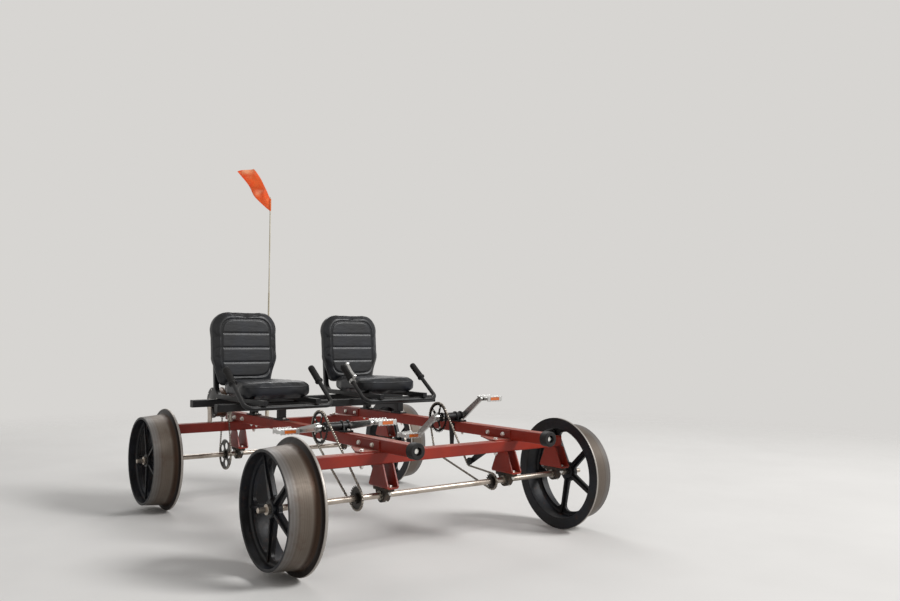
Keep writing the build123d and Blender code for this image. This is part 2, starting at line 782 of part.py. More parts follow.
def motor_drum(phase):
    """A hub motor: a grooved drum between two rims, domed covers, and a sprocket on its left boss."""
    low, high = around(motor_y, motor_width)
    groove = motor_radius - motor_groove_depth
    boss_y = rear_chain_y + sprocket_hub_width / 2 - motor_cover_proud
    section = [
        (motor_axle_radius, low - motor_cover_proud), (motor_boss_radius, low - motor_cover_proud),
        (motor_cover_radius, low), (motor_radius, low), (motor_radius, low + motor_rim_width),
        (groove, low + motor_rim_width + motor_groove_depth / 2),
        (groove, high - motor_rim_width - motor_groove_depth / 2),
        (motor_radius, high - motor_rim_width), (motor_radius, high), (motor_cover_radius, high),
        (motor_boss_radius, high + motor_cover_proud), (motor_boss_radius, boss_y),
        (motor_axle_radius, boss_y),
    ]
    body = revolve(polygon(section), Axis.Y)
    body += prism_y(tooth_outline(motor_teeth, phase), around(rear_chain_y, sprocket_thickness))
    body -= rod_y(motor_axle_radius + running_clearance, (low - motor_width, boss_y + motor_width), 0, 0)
    return Pos(motor_x, 0, motor_z) * body


def motor_mount():
    """The motor's fixed axle between two slotted plates that stand on the rear cross beam."""
    right_plate_y = motor_y - motor_width / 2 - motor_cover_proud - motor_plate_gap
    left_plate_y = rear_chain_y + motor_chain_gap
    axle_y = (motor_y - motor_axle_reach, left_plate_y + motor_axle_end)
    body = rod_y(motor_axle_radius, axle_y, motor_x, motor_z)
    foot_half = tube_side / 2
    foot = cross_top_z - motor_z
    lean = rear_axle_x - motor_x
    plate = make_hull(Circle(motor_plate_half_width).edges() + polygon([
        (lean - foot_half, foot), (lean + foot_half, foot),
        (lean + foot_half, foot + motor_plate_foot), (lean - foot_half, foot + motor_plate_foot)]).edges())
    for y in (right_plate_y, left_plate_y):
        body += Pos(motor_x, 0, motor_z) * prism_y(plate, around(y, motor_plate_thickness))
    return body


def flag_section(station):
    """One section across the flag: upright at the pole, and turned flat as the wind lifts the free end."""
    share = station / (flag_stations - 1)
    heading, rise = radians(flag_heading), radians(flag_rise)
    out = Vector(cos(heading), sin(heading), 0)
    aside = Vector(-sin(heading), cos(heading), 0)
    up = Vector(0, 0, 1)
    along = pole_tip_radius + flag_length * share
    sway = flag_wave * sin(2 * pi * share)
    centre = Vector(pole_x, pole_y, flag_middle_z) + out * (along * cos(rise) + pole_tip_radius / 2)
    centre = centre + up * (along * sin(rise)) + aside * sway
    turn = radians(flag_twist * share ** flag_twist_power)
    across = up * cos(turn) - out * sin(turn)
    height = flag_hoist_height + (flag_fly_height - flag_hoist_height) * share
    return Plane(origin=centre, x_dir=across, z_dir=across.cross(aside)) * Rectangle(height, flag_thickness)


def bracket(side, axle_name, along, across):
    """One gusseted angle: its corner lies on the beam's side, over the middle of the cross beam."""
    rear_x = bracket_overhang - bracket_length
    foot = polygon([(bracket_overhang, 0), (bracket_overhang, bracket_foot_width),
                    (-tube_side / 2, bracket_foot_width), (rear_x, bracket_toe_width), (rear_x, 0)])
    body = prism_z(foot, (0, bracket_plate))
    body += block((rear_x, bracket_overhang), (0, bracket_plate), (0, bracket_upright))
    for x in bracket_bolt_xs:
        body -= rod_y(bolt_hole_radius, around(0, 3 * bracket_plate), x, bracket_bolt_z)
    body -= rod_z(bolt_hole_radius, around(0, 3 * bracket_plate), 0, bracket_foot_bolt)
    face_y = beam_y(side) + across * tube_side / 2
    if along < 0:
        body = mirror(body, Plane.YZ)
    if across < 0:
        body = mirror(body, Plane.XZ)
    return Pos(axle_xs[axle_name], face_y, cross_top_z) * body


def bracket_holes(side, axle_name, along, across):
    """The clearance holes that one bracket's bolts need, through the beam and the cross beam."""
    x = axle_xs[axle_name]
    holes = [rod_y(bolt_hole_radius, around(beam_y(side), 2 * tube_side), x + along * bolt_x,
                   cross_top_z + bracket_bolt_z) for bolt_x in bracket_bolt_xs]
    foot_y = beam_y(side) + across * (tube_side / 2 + bracket_foot_bolt)
    return holes, rod_z(bolt_hole_radius, around(cross_bottom_z + tube_side / 2, 2 * tube_side), x, foot_y)


# Chassis: two cross beams, two longitudinal beams on top of them, and the brackets between.
bracket_places = [("right", "front", 1, -1), ("left", "front", 1, -1),
                  ("right", "rear", -1, 1), ("left", "rear", -1, -1)]
brackets = [bracket(*place) for place in bracket_places]
nodes["corner_brackets"] = Compound(brackets)

for name, x in axle_xs.items():
    tube = Rot(90, 0, 0) * square_tube(tube_side, 2 * cross_half_length)
    tube = Pos(x, 0, cross_bottom_z + tube_side / 2) * tube
    for place in bracket_places:
        if place[1] == name:
            tube -= bracket_holes(*place)[1]
    nodes[f"cross_beam_{name}"] = tube

beam_z = cross_top_z + tube_side / 2
for side in sides:
    tube = Rot(0, 90, 0) * square_tube(tube_side, beam_front_x - beam_rear_x)
    tube = Pos((beam_front_x + beam_rear_x) / 2, beam_y(side), beam_z) * tube
    for place in bracket_places:
        if place[0] == side:
            for hole in bracket_holes(*place)[0]:
                tube -= hole
    nodes[f"beam_{side}"] = tube

bumpers = []
for side in sides:
    rubber = rod_x(bumper_radius, (beam_front_x, beam_front_x + bumper_length), beam_y(side), beam_z)
    rubber = fillet(rubber.edges().filter_by(GeomType.CIRCLE).sort_by(Axis.X)[-1], bumper_round)
    recess_x = beam_front_x + bumper_length - bumper_recess_depth
    recess = (recess_x, beam_front_x + bumper_length + overcut)
    rubber -= rod_x(bumper_recess_radius, recess, beam_y(side), beam_z)
    bumpers.append(rubber)
nodes["bumpers"] = Compound(bumpers)

bearings = []
for name, x in axle_xs.items():
    for side in sides:
        nodes[f"hangers_{name}_{side}"] = Compound([hanger(x, y) for y in hanger_ys[side]])
        bearings += [bearing(x, y) for y in hanger_ys[side]]
nodes["bearings"] = Compound(bearings)

# Wheelsets.
left_wheel = wheel()
wheels = {"left": left_wheel, "right": mirror(left_wheel, Plane.XZ)}
for name, x in axle_xs.items():
    nodes[f"axle_{name}"] = Pos(x, 0, axle_z) * axle()
    for side in sides:
        nodes[f"wheel_{name}_{side}"] = Pos(x, 0, axle_z) * wheels[side]

# Chains and their wheels, listed clockwise as seen from the cart's right: x, z, radius, turn.
idler_line = idler_radius + chain_half_height + idler_clearance
front_idler = (front_axle_x + front_idler_x, front_idler_z, idler_line, -1)
rear_idler = (front_axle_x + rear_idler_x, rear_idler_z, idler_line, 1)
sprockets = []
phases = {}
for side in sides:
    ring = (crank_x(side), crank_axle_z, pitch_radius(chainring_teeth), 1)
    driven = (front_axle_x, axle_z, pitch_radius(front_teeth[side]), 1)
    loop = [ring, driven] if side == "right" else [ring, front_idler, driven, rear_idler]
    toothed = [(*ring[:2], chainring_teeth), (*driven[:2], front_teeth[side])]
    nodes[f"chain_{side}"] = chain_loop(loop, toothed, chain_y(side))
    phases[side] = roller_phase(loop, 0)
    driven_phase = roller_phase(loop, loop.index(driven))
    driven_place = (chain_y(side), front_axle_x, axle_z)
    sprockets.append(sprocket(front_teeth[side], driven_phase, *driven_place, axle_radius))
nodes["sprockets_front"] = Compound(sprockets)

loop = [(motor_x, motor_z, pitch_radius(motor_teeth), 1),
        (rear_axle_x, axle_z, pitch_radius(rear_teeth), 1)]
toothed = [(*loop[0][:2], motor_teeth), (*loop[1][:2], rear_teeth)]
nodes["chain_rear"] = chain_loop(loop, toothed, rear_chain_y)
nodes["motor_drum"] = motor_drum(roller_phase(loop, 0))
nodes["motor_mount"] = motor_mount()
driven_place = (rear_chain_y, rear_axle_x, axle_z)
nodes["sprocket_rear"] = sprocket(rear_teeth, roller_phase(loop, 1), *driven_place, axle_radius,
                                  rear_sprocket_holes)

# Cranks, pedals and their bearing shells.
for side in sides:
    nodes[f"bottom_bracket_{side}"] = bottom_bracket(side)
    nodes[f"crankset_{side}"] = crankset(side, phases[side])
    for sign in (-1, 1):
        turn = radians(crank_angle[side] + (0 if sign > 0 else 180))
        reach_y = crank_half_span + crank_arm_thickness / 2 + pedal_gap + pedal_length / 2
        place = Pos(crank_x(side) + crank_length * cos(turn), module_y(side) + sign * reach_y,
                    crank_axle_z + crank_length * sin(turn))
        end = "outer" if sign == sides[side] else "inner"
        nodes[f"pedal_{side}_{end}"] = place * pedal()

# Chain idlers of the left module: one on an arm from the front cross beam, one on an arm from the beam.
idler_y = chain_y("left")
arm_y = idler_y + idler_width / 2 + idler_arm_gap
idlers = []
for x, z, _, _ in (front_idler, rear_idler):
    roller = rod_y(idler_radius, around(idler_y, idler_width), x, z)
    groove_y = around(idler_y, idler_groove_width)
    groove = rod_y(idler_radius + overcut, groove_y, x, z)
    groove -= rod_y(idler_radius - idler_groove_depth, groove_y, x, z)
    pin = rod_y(idler_pin_radius, (idler_y - idler_pin_end, arm_y + idler_arm_plate), x, z)
    idlers.append(roller - groove + pin)
eye = idler_pin_radius + idler_eye_wall
beam_back = front_axle_x - tube_side / 2
lug_low, lug_high = [cross_bottom_z + height for height in idler_front_lug]
front_arm = make_hull((Pos(*front_idler[:2]) * Circle(eye)).edges() + polygon([
    (beam_back - idler_lug_length, lug_low), (beam_back, lug_low),
    (beam_back, lug_high), (beam_back - idler_lug_length, lug_high)]).edges())
idlers[0] += prism_y(front_arm, (arm_y, arm_y + idler_arm_plate))
beam_side = beam_y("left") - tube_side / 2
lug_rear, lug_front = around(rear_idler[0], 2 * idler_lug_length)
lug_high = beam_top_z - idler_lug_drop
lug_low = lug_high - idler_lug_height
side_arm = make_hull((Pos(*rear_idler[:2]) * Circle(eye)).edges() + polygon([
    (lug_rear, lug_high), (lug_front, lug_high), (lug_front, lug_low), (lug_rear, lug_low)]).edges())
idlers[1] += prism_y(side_arm, (beam_side - idler_arm_plate, beam_side))
idlers[1] += rod_y(idler_pin_radius, (arm_y, beam_side), *rear_idler[:2])
nodes["idlers"] = Compound(idlers)

# Seat frame.
seat_rail_bottom = seat_pan_bottom_z - seat_rail_side
upright_height = seat_rail_bottom - seat_cross_side - beam_top_z
foot_length, foot_width, foot_plate = seat_foot_plate
for name, x in (("front", seat_cross_front_x), ("rear", seat_cross_rear_x)):
    tube = square_tube(seat_cross_side, seat_cross_length, seat_cross_wall, seat_cross_corner)
    body = Pos(x, 0, seat_rail_bottom - seat_cross_side / 2) * Rot(90, 0, 0) * tube
    for side in sides:
        post = RectangleRounded(seat_upright_side, seat_upright_side, seat_cross_corner)
        body += Pos(x, beam_y(side), beam_top_z) * prism_z(post, (0, upright_height + seat_cross_wall))
        plate = RectangleRounded(foot_length, foot_width, seat_foot_corner)
        body += Pos(x, beam_y(side), beam_top_z) * prism_z(plate, (0, foot_plate))
    nodes[f"seat_frame_{name}"] = body

rails = []
for side in sides:
    for offset in (-seat_rail_offset_y, seat_rail_offset_y):
        rails.append(Pos(0, module_y(side) + offset, 0) * seat_rail(side))
    nodes[f"seat_pan_{side}"] = seat_pan(side)
    nodes[f"seat_back_{side}"] = seat_back_place(side) * seat_back()
    nodes[f"hand_bar_{side}"] = hand_bar(side)
nodes["seat_rails"] = Compound(rails)
nodes["brake_lever"] = grip_frame("left", -1) * brake_lever()

# Flag on its pole.
pole = rod_z(pole_radius, (cross_top_z, pole_joint_z), pole_x, pole_y)
pole_top_z = flag_middle_z + flag_hoist_height / 2 + pole_top_reach
pole += rod_z(pole_tip_radius, (pole_joint_z, pole_top_z), pole_x, pole_y)
pole += rod_z(pole_socket_radius, (cross_top_z, cross_top_z + pole_socket_height), pole_x, pole_y)
nodes["flag_pole"] = pole
cloth = loft([flag_section(station) for station in range(flag_stations)], ruled=True)
hem_z = around(flag_middle_z, flag_hoist_height)
hem = rod_z(pole_tip_radius + flag_hem, hem_z, pole_x, pole_y)
nodes["flag"] = cloth + hem - rod_z(pole_tip_radius, around(flag_middle_z, flag_length), pole_x, pole_y)

os.makedirs("parts", exist_ok=True)
for name, shape in nodes.items():
    export_step(shape, f"parts/{name}.step")
print(len(nodes), "nodes")
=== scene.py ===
import json
import math

import bmesh
import bpy
from mathutils import Matrix, Vector


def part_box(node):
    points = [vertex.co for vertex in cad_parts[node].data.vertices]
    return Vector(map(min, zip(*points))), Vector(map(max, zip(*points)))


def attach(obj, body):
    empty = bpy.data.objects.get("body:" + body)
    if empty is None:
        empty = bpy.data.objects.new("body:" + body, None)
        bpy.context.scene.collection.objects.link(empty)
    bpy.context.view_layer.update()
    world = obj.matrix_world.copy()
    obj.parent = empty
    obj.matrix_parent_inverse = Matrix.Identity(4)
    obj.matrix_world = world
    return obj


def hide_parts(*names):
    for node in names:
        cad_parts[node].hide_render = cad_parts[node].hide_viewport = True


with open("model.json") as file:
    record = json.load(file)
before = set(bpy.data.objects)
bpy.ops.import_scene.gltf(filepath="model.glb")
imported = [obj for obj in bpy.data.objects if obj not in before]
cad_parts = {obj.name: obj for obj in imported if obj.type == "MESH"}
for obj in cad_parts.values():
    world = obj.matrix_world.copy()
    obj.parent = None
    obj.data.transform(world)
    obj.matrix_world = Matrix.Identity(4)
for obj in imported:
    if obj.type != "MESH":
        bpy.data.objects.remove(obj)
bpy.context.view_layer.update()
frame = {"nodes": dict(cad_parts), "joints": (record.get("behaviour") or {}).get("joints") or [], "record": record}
nodes = frame["nodes"]
joints = {joint["name"]: Vector(joint["pos_m"]) for joint in frame["joints"]}
print("frame loaded:", len(nodes), "nodes")


def newObject(name, data):
    made = bpy.data.objects.new(name, data)
    bpy.context.scene.collection.objects.link(made)
    return made


def turnTo(direction, axis="Z"):
    return Vector(direction).to_track_quat(axis, "Y").to_matrix().to_4x4()


def toMesh(name, shape):
    mesh = bpy.data.meshes.new(name)
    shape.to_mesh(mesh)
    shape.free()
    return mesh


# Camera, at the photograph's place: off the right front corner, at the height of the seats
cameraPlace = {"place": (3.7159, -2.1657, 0.9161), "look": (-0.79966, 0.59864, 0.04663),
               "roll": 0.0059, "lens": 33.15, "sensor": 36.0, "clip": (0.05, 60.0)}


def makeCamera(settings):
    data = bpy.data.cameras.new("camera")
    data.lens = settings["lens"]
    data.sensor_width = settings["sensor"]
    data.clip_start, data.clip_end = settings["clip"]
    look = turnTo(settings["look"], "-Z") @ Matrix.Rotation(settings["roll"], 4, "Z")
    camera = newObject("camera", data)
    camera.matrix_world = Matrix.Translation(settings["place"]) @ look
    bpy.context.scene.camera = camera


makeCamera(cameraPlace)
print("camera placed")


# Colours are written as sRGB hex and turned to linear here
def linear(hexColour):
    values = [int(hexColour[i:i + 2], 16) / 255 for i in (1, 3, 5)]
    return [v / 12.92 if v <= 0.04045 else ((v + 0.055) / 1.055) ** 2.4 for v in values] + [1.0]


# What most nodes of these kinds are set to here
usual = {"Math": {"operation": "MULTIPLY"}, "Mix": {"data_type": "RGBA"},
         "MapRange": {"interpolation_type": "SMOOTHSTEP"}}


# Adds one node with its settings and its inputs, by name or by number, and gives back one output
def add(tree, kind, inputs=(), out=0, **settings):
    node = tree.nodes.new("ShaderNode" + kind)
    for name, value in {**usual.get(kind, {}), **settings}.items():
        setattr(node, name, value)
    for name, value in inputs.items() if isinstance(inputs, dict) else enumerate(inputs):
        if isinstance(value, bpy.types.NodeSocket):
            tree.links.new(value, node.inputs[name])
        elif value is not None:
            node.inputs[name].default_value = linear(value) if isinstance(value, str) else value
    return node.outputs[out] if node.outputs else None


def startMaterial(name):
    material = bpy.data.materials.new(name)
    material.use_nodes = True
    tree = material.node_tree
    tree.nodes.clear()
    return material, tree, add(tree, "TexCoord", out="Object")


# Stacks relief into a normal, each layer a height pattern, its depth in millimetres and strength
def relief(tree, *layers):
    normal = None
    for height, millimetres, strength in layers:
        normal = add(tree, "Bump", {"Height": height, "Distance": millimetres / 1000,
                                    "Strength": strength, "Normal": normal})
    return normal


# Gives a material its shader, with layers of relief, and hands it back. An input of three is the
# first times the second, and the third added
def endMaterial(material, inputs, *layers, gloss=0.5):
    tree = material.node_tree
    for name, value in inputs.items():
        if isinstance(value, tuple):
            inputs[name] = add(tree, "Math", value, operation="MULTIPLY_ADD")
    shader = add(tree, "BsdfPrincipled", {**inputs, "Specular IOR Level": gloss,
                                          "Normal": relief(tree, *layers)})
    add(tree, "OutputMaterial", [shader])
    return material


# Lays coats over a base, each a mask and what shows where it is white: a colour that the look
# names, or an output
def coats(look, base, *layers):
    for mask, top in layers:
        under, over = [look[coat] if isinstance(coat, str) else coat for coat in (base, top)]
        base = add(mask.id_data, "Mix", {0: mask, 6: under, 7: over}, out=2)
    return base


# Soft patches about so many millimetres across, with give's first value below low and its second
# above high
def patches(place, millimetres, low=0.0, high=1.0, detail=4.0, stretch=(1, 1, 1), give=(0, 1)):
    tree = place.id_data
    moved = add(tree, "Mapping", {"Vector": place, "Scale": stretch})
    noise = add(tree, "TexNoise", {"Vector": moved, "Scale": 1000 / millimetres,
                                   "Detail": detail, "Roughness": 0.62})
    return add(tree, "MapRange", (noise, low, high, *give))


# Patches of dust, up to a share of the whole, on faces that look up
def settled(place, millimetres, low, high, share, upFrom=0.3):
    tree = place.id_data
    upward = add(tree, "SeparateXYZ", [add(tree, "NewGeometry", out="Normal")], out="Z")
    upward = add(tree, "MapRange", (upward, upFrom, 1.0))
    dust = patches(place, millimetres, low, high, 6, give=(0, share))
    return add(tree, "Math", (upward, dust))


# A share of white along convex and concave edges, about so many millimetres wide
def alongEdges(tree, millimetres, low=0.02, high=0.16, share=1.0):
    softened = add(tree, "Bevel", {"Radius": millimetres / 1000}, samples=6)
    true = add(tree, "NewGeometry", out="Normal")
    alike = add(tree, "VectorMath", (softened, true), out="Value", operation="DOT_PRODUCT")
    return add(tree, "MapRange", (alike, 1 - low, 1 - high, 0.0, share))


# Distance from a shaft along Y. The axles lie as far from X = 0, so one, mirrored, does for both
def shaftDistance(place, shaft, mirrored=False):
    tree = place.id_data
    x = add(tree, "SeparateXYZ", [place], out="X")
    z = add(tree, "SeparateXYZ", [place], out="Z")
    if mirrored:
        x = add(tree, "Math", [x], operation="ABSOLUTE")
    flat = add(tree, "CombineXYZ", (x, 0.0, z))
    return add(tree, "VectorMath", (flat, (shaft.x, 0, shaft.z)), out="Value", operation="DISTANCE")


# Red oxide gloss enamel brushed on steel tube: brick red, chalky where it has weathered, dusty on
# top, pale pink along the corners as a painted highlight, and chipped to brown steel
framePaint = {"red": "#9a2b17", "deep": "#7e1f11", "chalk": "#b3563f", "dust": "#b7907c",
              "steel": "#6d625a", "rust": "#4f2517", "edge": "#c08c7a", "edgeShare": 0.5,
              "rough": (0.32, 0.52), "gloss": 0.4}


def makeFramePaint(look):
    material, tree, place = startMaterial("redEnamelOnSteelTube")
    chalk = settled(place, 60, 0.46, 0.8, 1.0, 0.2)
    runs = patches(place, 14, 0.56, 0.74, 5, (0.25, 0.25, 1), (0, 0.4))
    # Painted highlight: pale pink along every edge, where light would catch the corners
    wearAndPaintedLight = alongEdges(tree, 1.4, 0.05, 0.2, look["edgeShare"])
    chips = add(tree, "Math", (alongEdges(tree, 2.5), patches(place, 16, 0.5, 0.56, 5)))
    bare = add(tree, "Math", (chips, patches(place, 9, 0.73, 0.76, 3)), operation="MAXIMUM")
    steel = coats(look, "steel", (patches(place, 4, detail=3), "rust"))
    dust = settled(place, 35, 0.3, 0.7, 0.42, 0.5)
    rough = patches(place, 25, detail=5, give=look["rough"])
    brushMarks = patches(place, 5, detail=2, stretch=(0.12, 0.12, 1))
    return endMaterial(material, {
        "Base Color": coats(look, "red", (patches(place, 420, 0.35, 0.65, 3), "deep"),
                            (chalk, "chalk"), (runs, "rust"), (wearAndPaintedLight, "edge"), (bare, steel),
                            (dust, "dust")),
        "Roughness": (dust, 0.7, rough),
    }, (brushMarks, 0.25, 0.12), (bare, -0.25, 0.6), (patches(place, 90, detail=2), 1.0, 0.12),
       gloss=look["gloss"])


# Cast iron wheel under black enamel with a painted highlight in cool blue-black patches, and a bare
# tread and flange rubbed in rings: grey by the outer edge as a painted highlight, brown in the throat,
# dark on the flange's faces as painted shade, and pale on the flange's polished tip as a painted
# highlight. Each ring has where it starts and is full
wheelIron = {"black": "#0b0b0d", "sheen": "#12161f", "outer": "#767472", "tread": "#6b6259",
             "throat": "#3d2c20", "flange": "#1d1613", "tip": "#a39d97", "rust": "#4a2c1d",
             "dust": "#6e665c", "gloss": 0.35, "rough": (0.36, 0.56),
             "radii": {"bare": (0.2262, 0.2281), "flange": (0.2405, 0.2465),
                       "tip": (0.2645, 0.2660)},
             "ys": {"throat": (0.748, 0.729), "outer": (0.782, 0.826), "back": (0.7002, 0.699)}}


def makeWheelIron(look):
    material, tree, place = startMaterial("castIronBlackEnamelWornTread")
    distance = shaftDistance(place, joints["front_wheels_turn"], True)
    across = add(tree, "Math", [add(tree, "SeparateXYZ", [place], out="Y")], operation="ABSOLUTE")
    rubbed = add(tree, "Math", (alongEdges(tree, 3.0, share=0.45), patches(place, 12, 0.42, 0.62)))
    dust = patches(place, 45, 0.5, 0.9, 6, give=(0, 0.16))
    # Painted highlight: cool blue-black patches over the black enamel
    enamel = coats(look, "black", (patches(place, 150, 0.35, 0.7), "sheen"),
                   (patches(place, 30, 0.58, 0.74, 6, give=(0, 0.5)), "rust"),
                   (rubbed, "dust"), (dust, "dust"))

    ringPlace = add(tree, "CombineXYZ", (across, distance, 0.0))
    rings = patches(ringPlace, 7, 0.3, 0.7, 3, give=(0, 0.38))
    fineRings = patches(ringPlace, 1.6, 0.35, 0.65, 2)
    stains = patches(place, 70, 0.5, 0.85, 5, give=(0, 0.5))
    on = {name: add(tree, "MapRange", (distance, *ends)) for name, ends in look["radii"].items()}
    for name, ends in look["ys"].items():
        on[name] = add(tree, "MapRange", (across, *ends))
    # Painted highlight in the grey outer band and the pale flange tip; painted shade on the dark flange faces
    wearAndPaintedLight = coats(look, "tread", (on["outer"], "outer"), (on["throat"], "throat"),
                 (rings, "throat"), (stains, "rust"), (on["flange"], "flange"), (on["tip"], "tip"))

    bare = add(tree, "Math", (on["bare"], on["back"]), operation="SUBTRACT", use_clamp=True)
    polished = add(tree, "Math", (bare, on["flange"]), operation="SUBTRACT", use_clamp=True)
    polished = add(tree, "Math", (polished, on["tip"]), operation="MAXIMUM")
    metal = add(tree, "Math", (fineRings, 0.35, 0.35), operation="MULTIPLY_ADD")
    rough = patches(place, 18, detail=5, give=look["rough"])
    return endMaterial(material, {
        "Base Color": coats(look, enamel, (bare, wearAndPaintedLight)),
        "Metallic": add(tree, "Math", (polished, metal)),
        "Roughness": (dust, 0.5, rough),
    }, (patches(place, 3.0, detail=3), 0.35, 0.22), (patches(place, 40, detail=3), 1.2, 0.15),
       (add(tree, "Math", (fineRings, bare)), 0.12, 0.4), gloss=look["gloss"])


# Turned bright steel bar: fine lathe lines round it, a film of oil, and freckles of rust
groundSteel = {"name": "groundSteelBar", "metal": "#b8aea3", "film": "#7c7166", "stain": "#5e4230",
               "rough": (0.3, 0.46), "lines": (1, 30, 1)}
# Bright zinc plate on bolts, washers and fittings: silver with a yellow cast
zincPlate = {"name": "zincPlatedSteel", "metal": "#e9e8e4", "film": "#c9c3b2", "stain": "#8a6847",
             "rough": (0.26, 0.42), "lines": (1, 1, 1)}
# Forged alloy crank arms, polished and scratched, with a blackened toothed ring on each
forgedAlloy = {"name": "forgedAlloyBlackenedRing", "metal": "#c4c4c2", "film": "#97948e",
               "stain": "#6a655d", "rough": (0.22, 0.38), "lines": (6, 1, 1),
               "ring": "#1d1b19", "ringYs": (-0.426, 0.288), "ringHalf": 0.0016}
# Cast alloy cage of the pedals, satin and scuffed
castAlloy = {"name": "castAlloyCage", "metal": "#cfcfcd", "film": "#a6a39d", "stain": "#77716a",
             "rough": (0.34, 0.5), "lines": (1, 4, 1)}


def makeBrightMetal(look):
    material, tree, place = startMaterial(look["name"])
    stain = patches(place, 11, 0.64, 0.76, 6, give=(0, 0.5))
    colour = coats(look, "metal", (patches(place, 80, 0.45, 0.8, 5), "film"), (stain, "stain"))
    across = add(tree, "SeparateXYZ", [place], out="Y")
    for y in look.get("ringYs", ()):
        inRing = add(tree, "Math", (across, y, look["ringHalf"]), operation="COMPARE")
        colour = coats(look, colour, (inRing, "ring"))
    rough = patches(place, 20, give=look["rough"])
    return endMaterial(material, {
        "Base Color": colour,
        "Metallic": (stain, -1.0, 0.96),
        "Roughness": (stain, 0.5, rough),
    }, (patches(place, 18, detail=2, stretch=look["lines"]), 0.12, 0.2))


# Satin black stove enamel on tube and plate: dust on top, grey where the corners are rubbed
blackEnamel = {"black": "#0c0c0d", "grey": "#16171a", "dust": "#7a6f62", "steel": "#6f6b66",
               "dusty": 0.16, "rough": (0.33, 0.53), "gloss": 0.35}


def makeBlackEnamel(look):
    material, tree, place = startMaterial("satinBlackEnamel")
    rubbed = add(tree, "Math", (alongEdges(tree, 2.0), patches(place, 10, 0.52, 0.6)))
    dusty = settled(place, 30, 0.35, 0.75, look["dusty"])
    rough = patches(place, 15, detail=5, give=look["rough"])
    return endMaterial(material, {
        "Base Color": coats(look, "black", (patches(place, 120, 0.35, 0.7), "grey"),
                            (rubbed, "steel"), (dusty, "dust")),
        "Roughness": (dusty, 0.9, rough),
    }, (patches(place, 1.6, detail=2), 0.12, 0.18), (rubbed, -0.15, 0.5), gloss=look["gloss"])


# Sand cast bearing blocks: rough brown-black iron round a bright steel inner ring, with grease
bearingIron = {"black": "#26231f", "brown": "#4a3a2c", "ring": "#a39d94", "grease": "#14110d",
               "ringFrom": (0.0205, 0.0199), "rough": (0.6, 0.74)}


def makeBearingIron(look):
    material, tree, place = startMaterial("bearingSandCastIron")
    distance = shaftDistance(place, joints["front_wheels_turn"], True)
    housing = coats(look, "black", (patches(place, 26, 0.4, 0.68, 5), "brown"))
    ring = coats(look, "ring", (patches(place, 9, 0.4, 0.7), "grease"))
    inner = add(tree, "MapRange", (distance, *look["ringFrom"]))
    rough = patches(place, 12, give=look["rough"])
    return endMaterial(material, {
        "Base Color": coats(look, housing, (inner, ring)),
        "Metallic": (inner, 0.9, 0.0),
        "Roughness": (inner, -0.3, rough),
    }, (patches(place, 2.2, detail=3), 0.4, 0.35), (patches(place, 20, detail=2), 0.6, 0.15))


# Moulded black rubber, greyed by weather in patches and grey along its edges as a painted highlight:
# matt on the bumpers, and softer and browner on the grips
bumperRubber = {"name": "mouldedBumperRubber", "black": "#0f0e0e", "grey": "#393735",
                "greyed": 0.6, "grain": 2.4, "rough": 0.56, "gloss": 0.35}
gripRubber = {"name": "ribbedGripRubber", "black": "#121111", "grey": "#2a2826",
              "greyed": 0.6, "grain": 1.6, "rough": 0.6, "gloss": 0.35}


def makeRubber(look):
    material, tree, place = startMaterial(look["name"])
    weathered = patches(place, 24, 0.4, 0.78, 5, give=(0, look["greyed"]))
    # Painted highlight: grey along every edge, over the real weathered patches
    edges = alongEdges(tree, 3.0, share=look["greyed"])
    grey = add(tree, "Math", (weathered, edges), operation="MAXIMUM")
    return endMaterial(material, {
        "Base Color": coats(look, "black", (grey, "grey")),
        "Roughness": (grey, 0.3, look["rough"]),
    }, (patches(place, look["grain"], detail=3), 0.35, 0.3), gloss=look["gloss"])


# Oiled chain and toothed wheels: bright where rollers and plates rub, dark where oil holds dust
chainSteel = {"name": "oiledChainSteel", "steel": "#989187", "oil": "#332b23", "rust": "#644531",
              "clean": (0.46, 0.74), "metallic": 0.9}
toothedSteel = {"name": "blackenedToothedSteel", "steel": "#3b3732", "oil": "#1b1815",
                "rust": "#4a3526", "clean": (0.4, 0.66), "metallic": 0.75}


def makeChainSteel(look):
    material, tree, place = startMaterial(look["name"])
    oil = patches(place, 14, *look["clean"], 5)
    rust = patches(place, 8, 0.62, 0.74, 5, give=(0, 0.5))
    return endMaterial(material, {
        "Base Color": coats(look, "steel", (oil, "oil"), (rust, "rust")),
        "Metallic": (oil, -0.5, look["metallic"]),
        "Roughness": (oil, 0.25, 0.3),
    }, (patches(place, 2.0, detail=3), 0.1, 0.25))


# Hub motor: bronze anodised drum between gloss black covers
motorShell = {"bronze": "#6a4f3b", "dark": "#3a2b22", "cover": "#141414", "edge": "#2c2825",
              "drumRadius": (0.0755, 0.0765), "drumHalf": (0.0245, 0.0235), "rough": (0.3, 0.5)}


def makeMotorShell(look):
    material, tree, place = startMaterial("anodisedMotorDrum")
    centre = joints["motor_turn"]
    across = add(tree, "Math", (add(tree, "SeparateXYZ", [place], out="Y"), centre.y),
                 operation="SUBTRACT")
    across = add(tree, "Math", [across], operation="ABSOLUTE")
    outside = add(tree, "MapRange", (shaftDistance(place, centre), *look["drumRadius"]))
    drum = add(tree, "Math", (outside, add(tree, "MapRange", (across, *look["drumHalf"]))))
    bronze = coats(look, "bronze", (patches(place, 40, 0.35, 0.7), "dark"))
    cover = coats(look, "cover", (patches(place, 30, 0.4, 0.7), "edge"))
    return endMaterial(material, {
        "Base Color": coats(look, cover, (drum, bronze)),
        "Metallic": (drum, 0.6, 0.0),
        "Roughness": patches(place, 12, detail=5, give=look["rough"]),
    }, (patches(place, 4.0, detail=2, stretch=(1, 12, 1)), 0.1, 0.3))


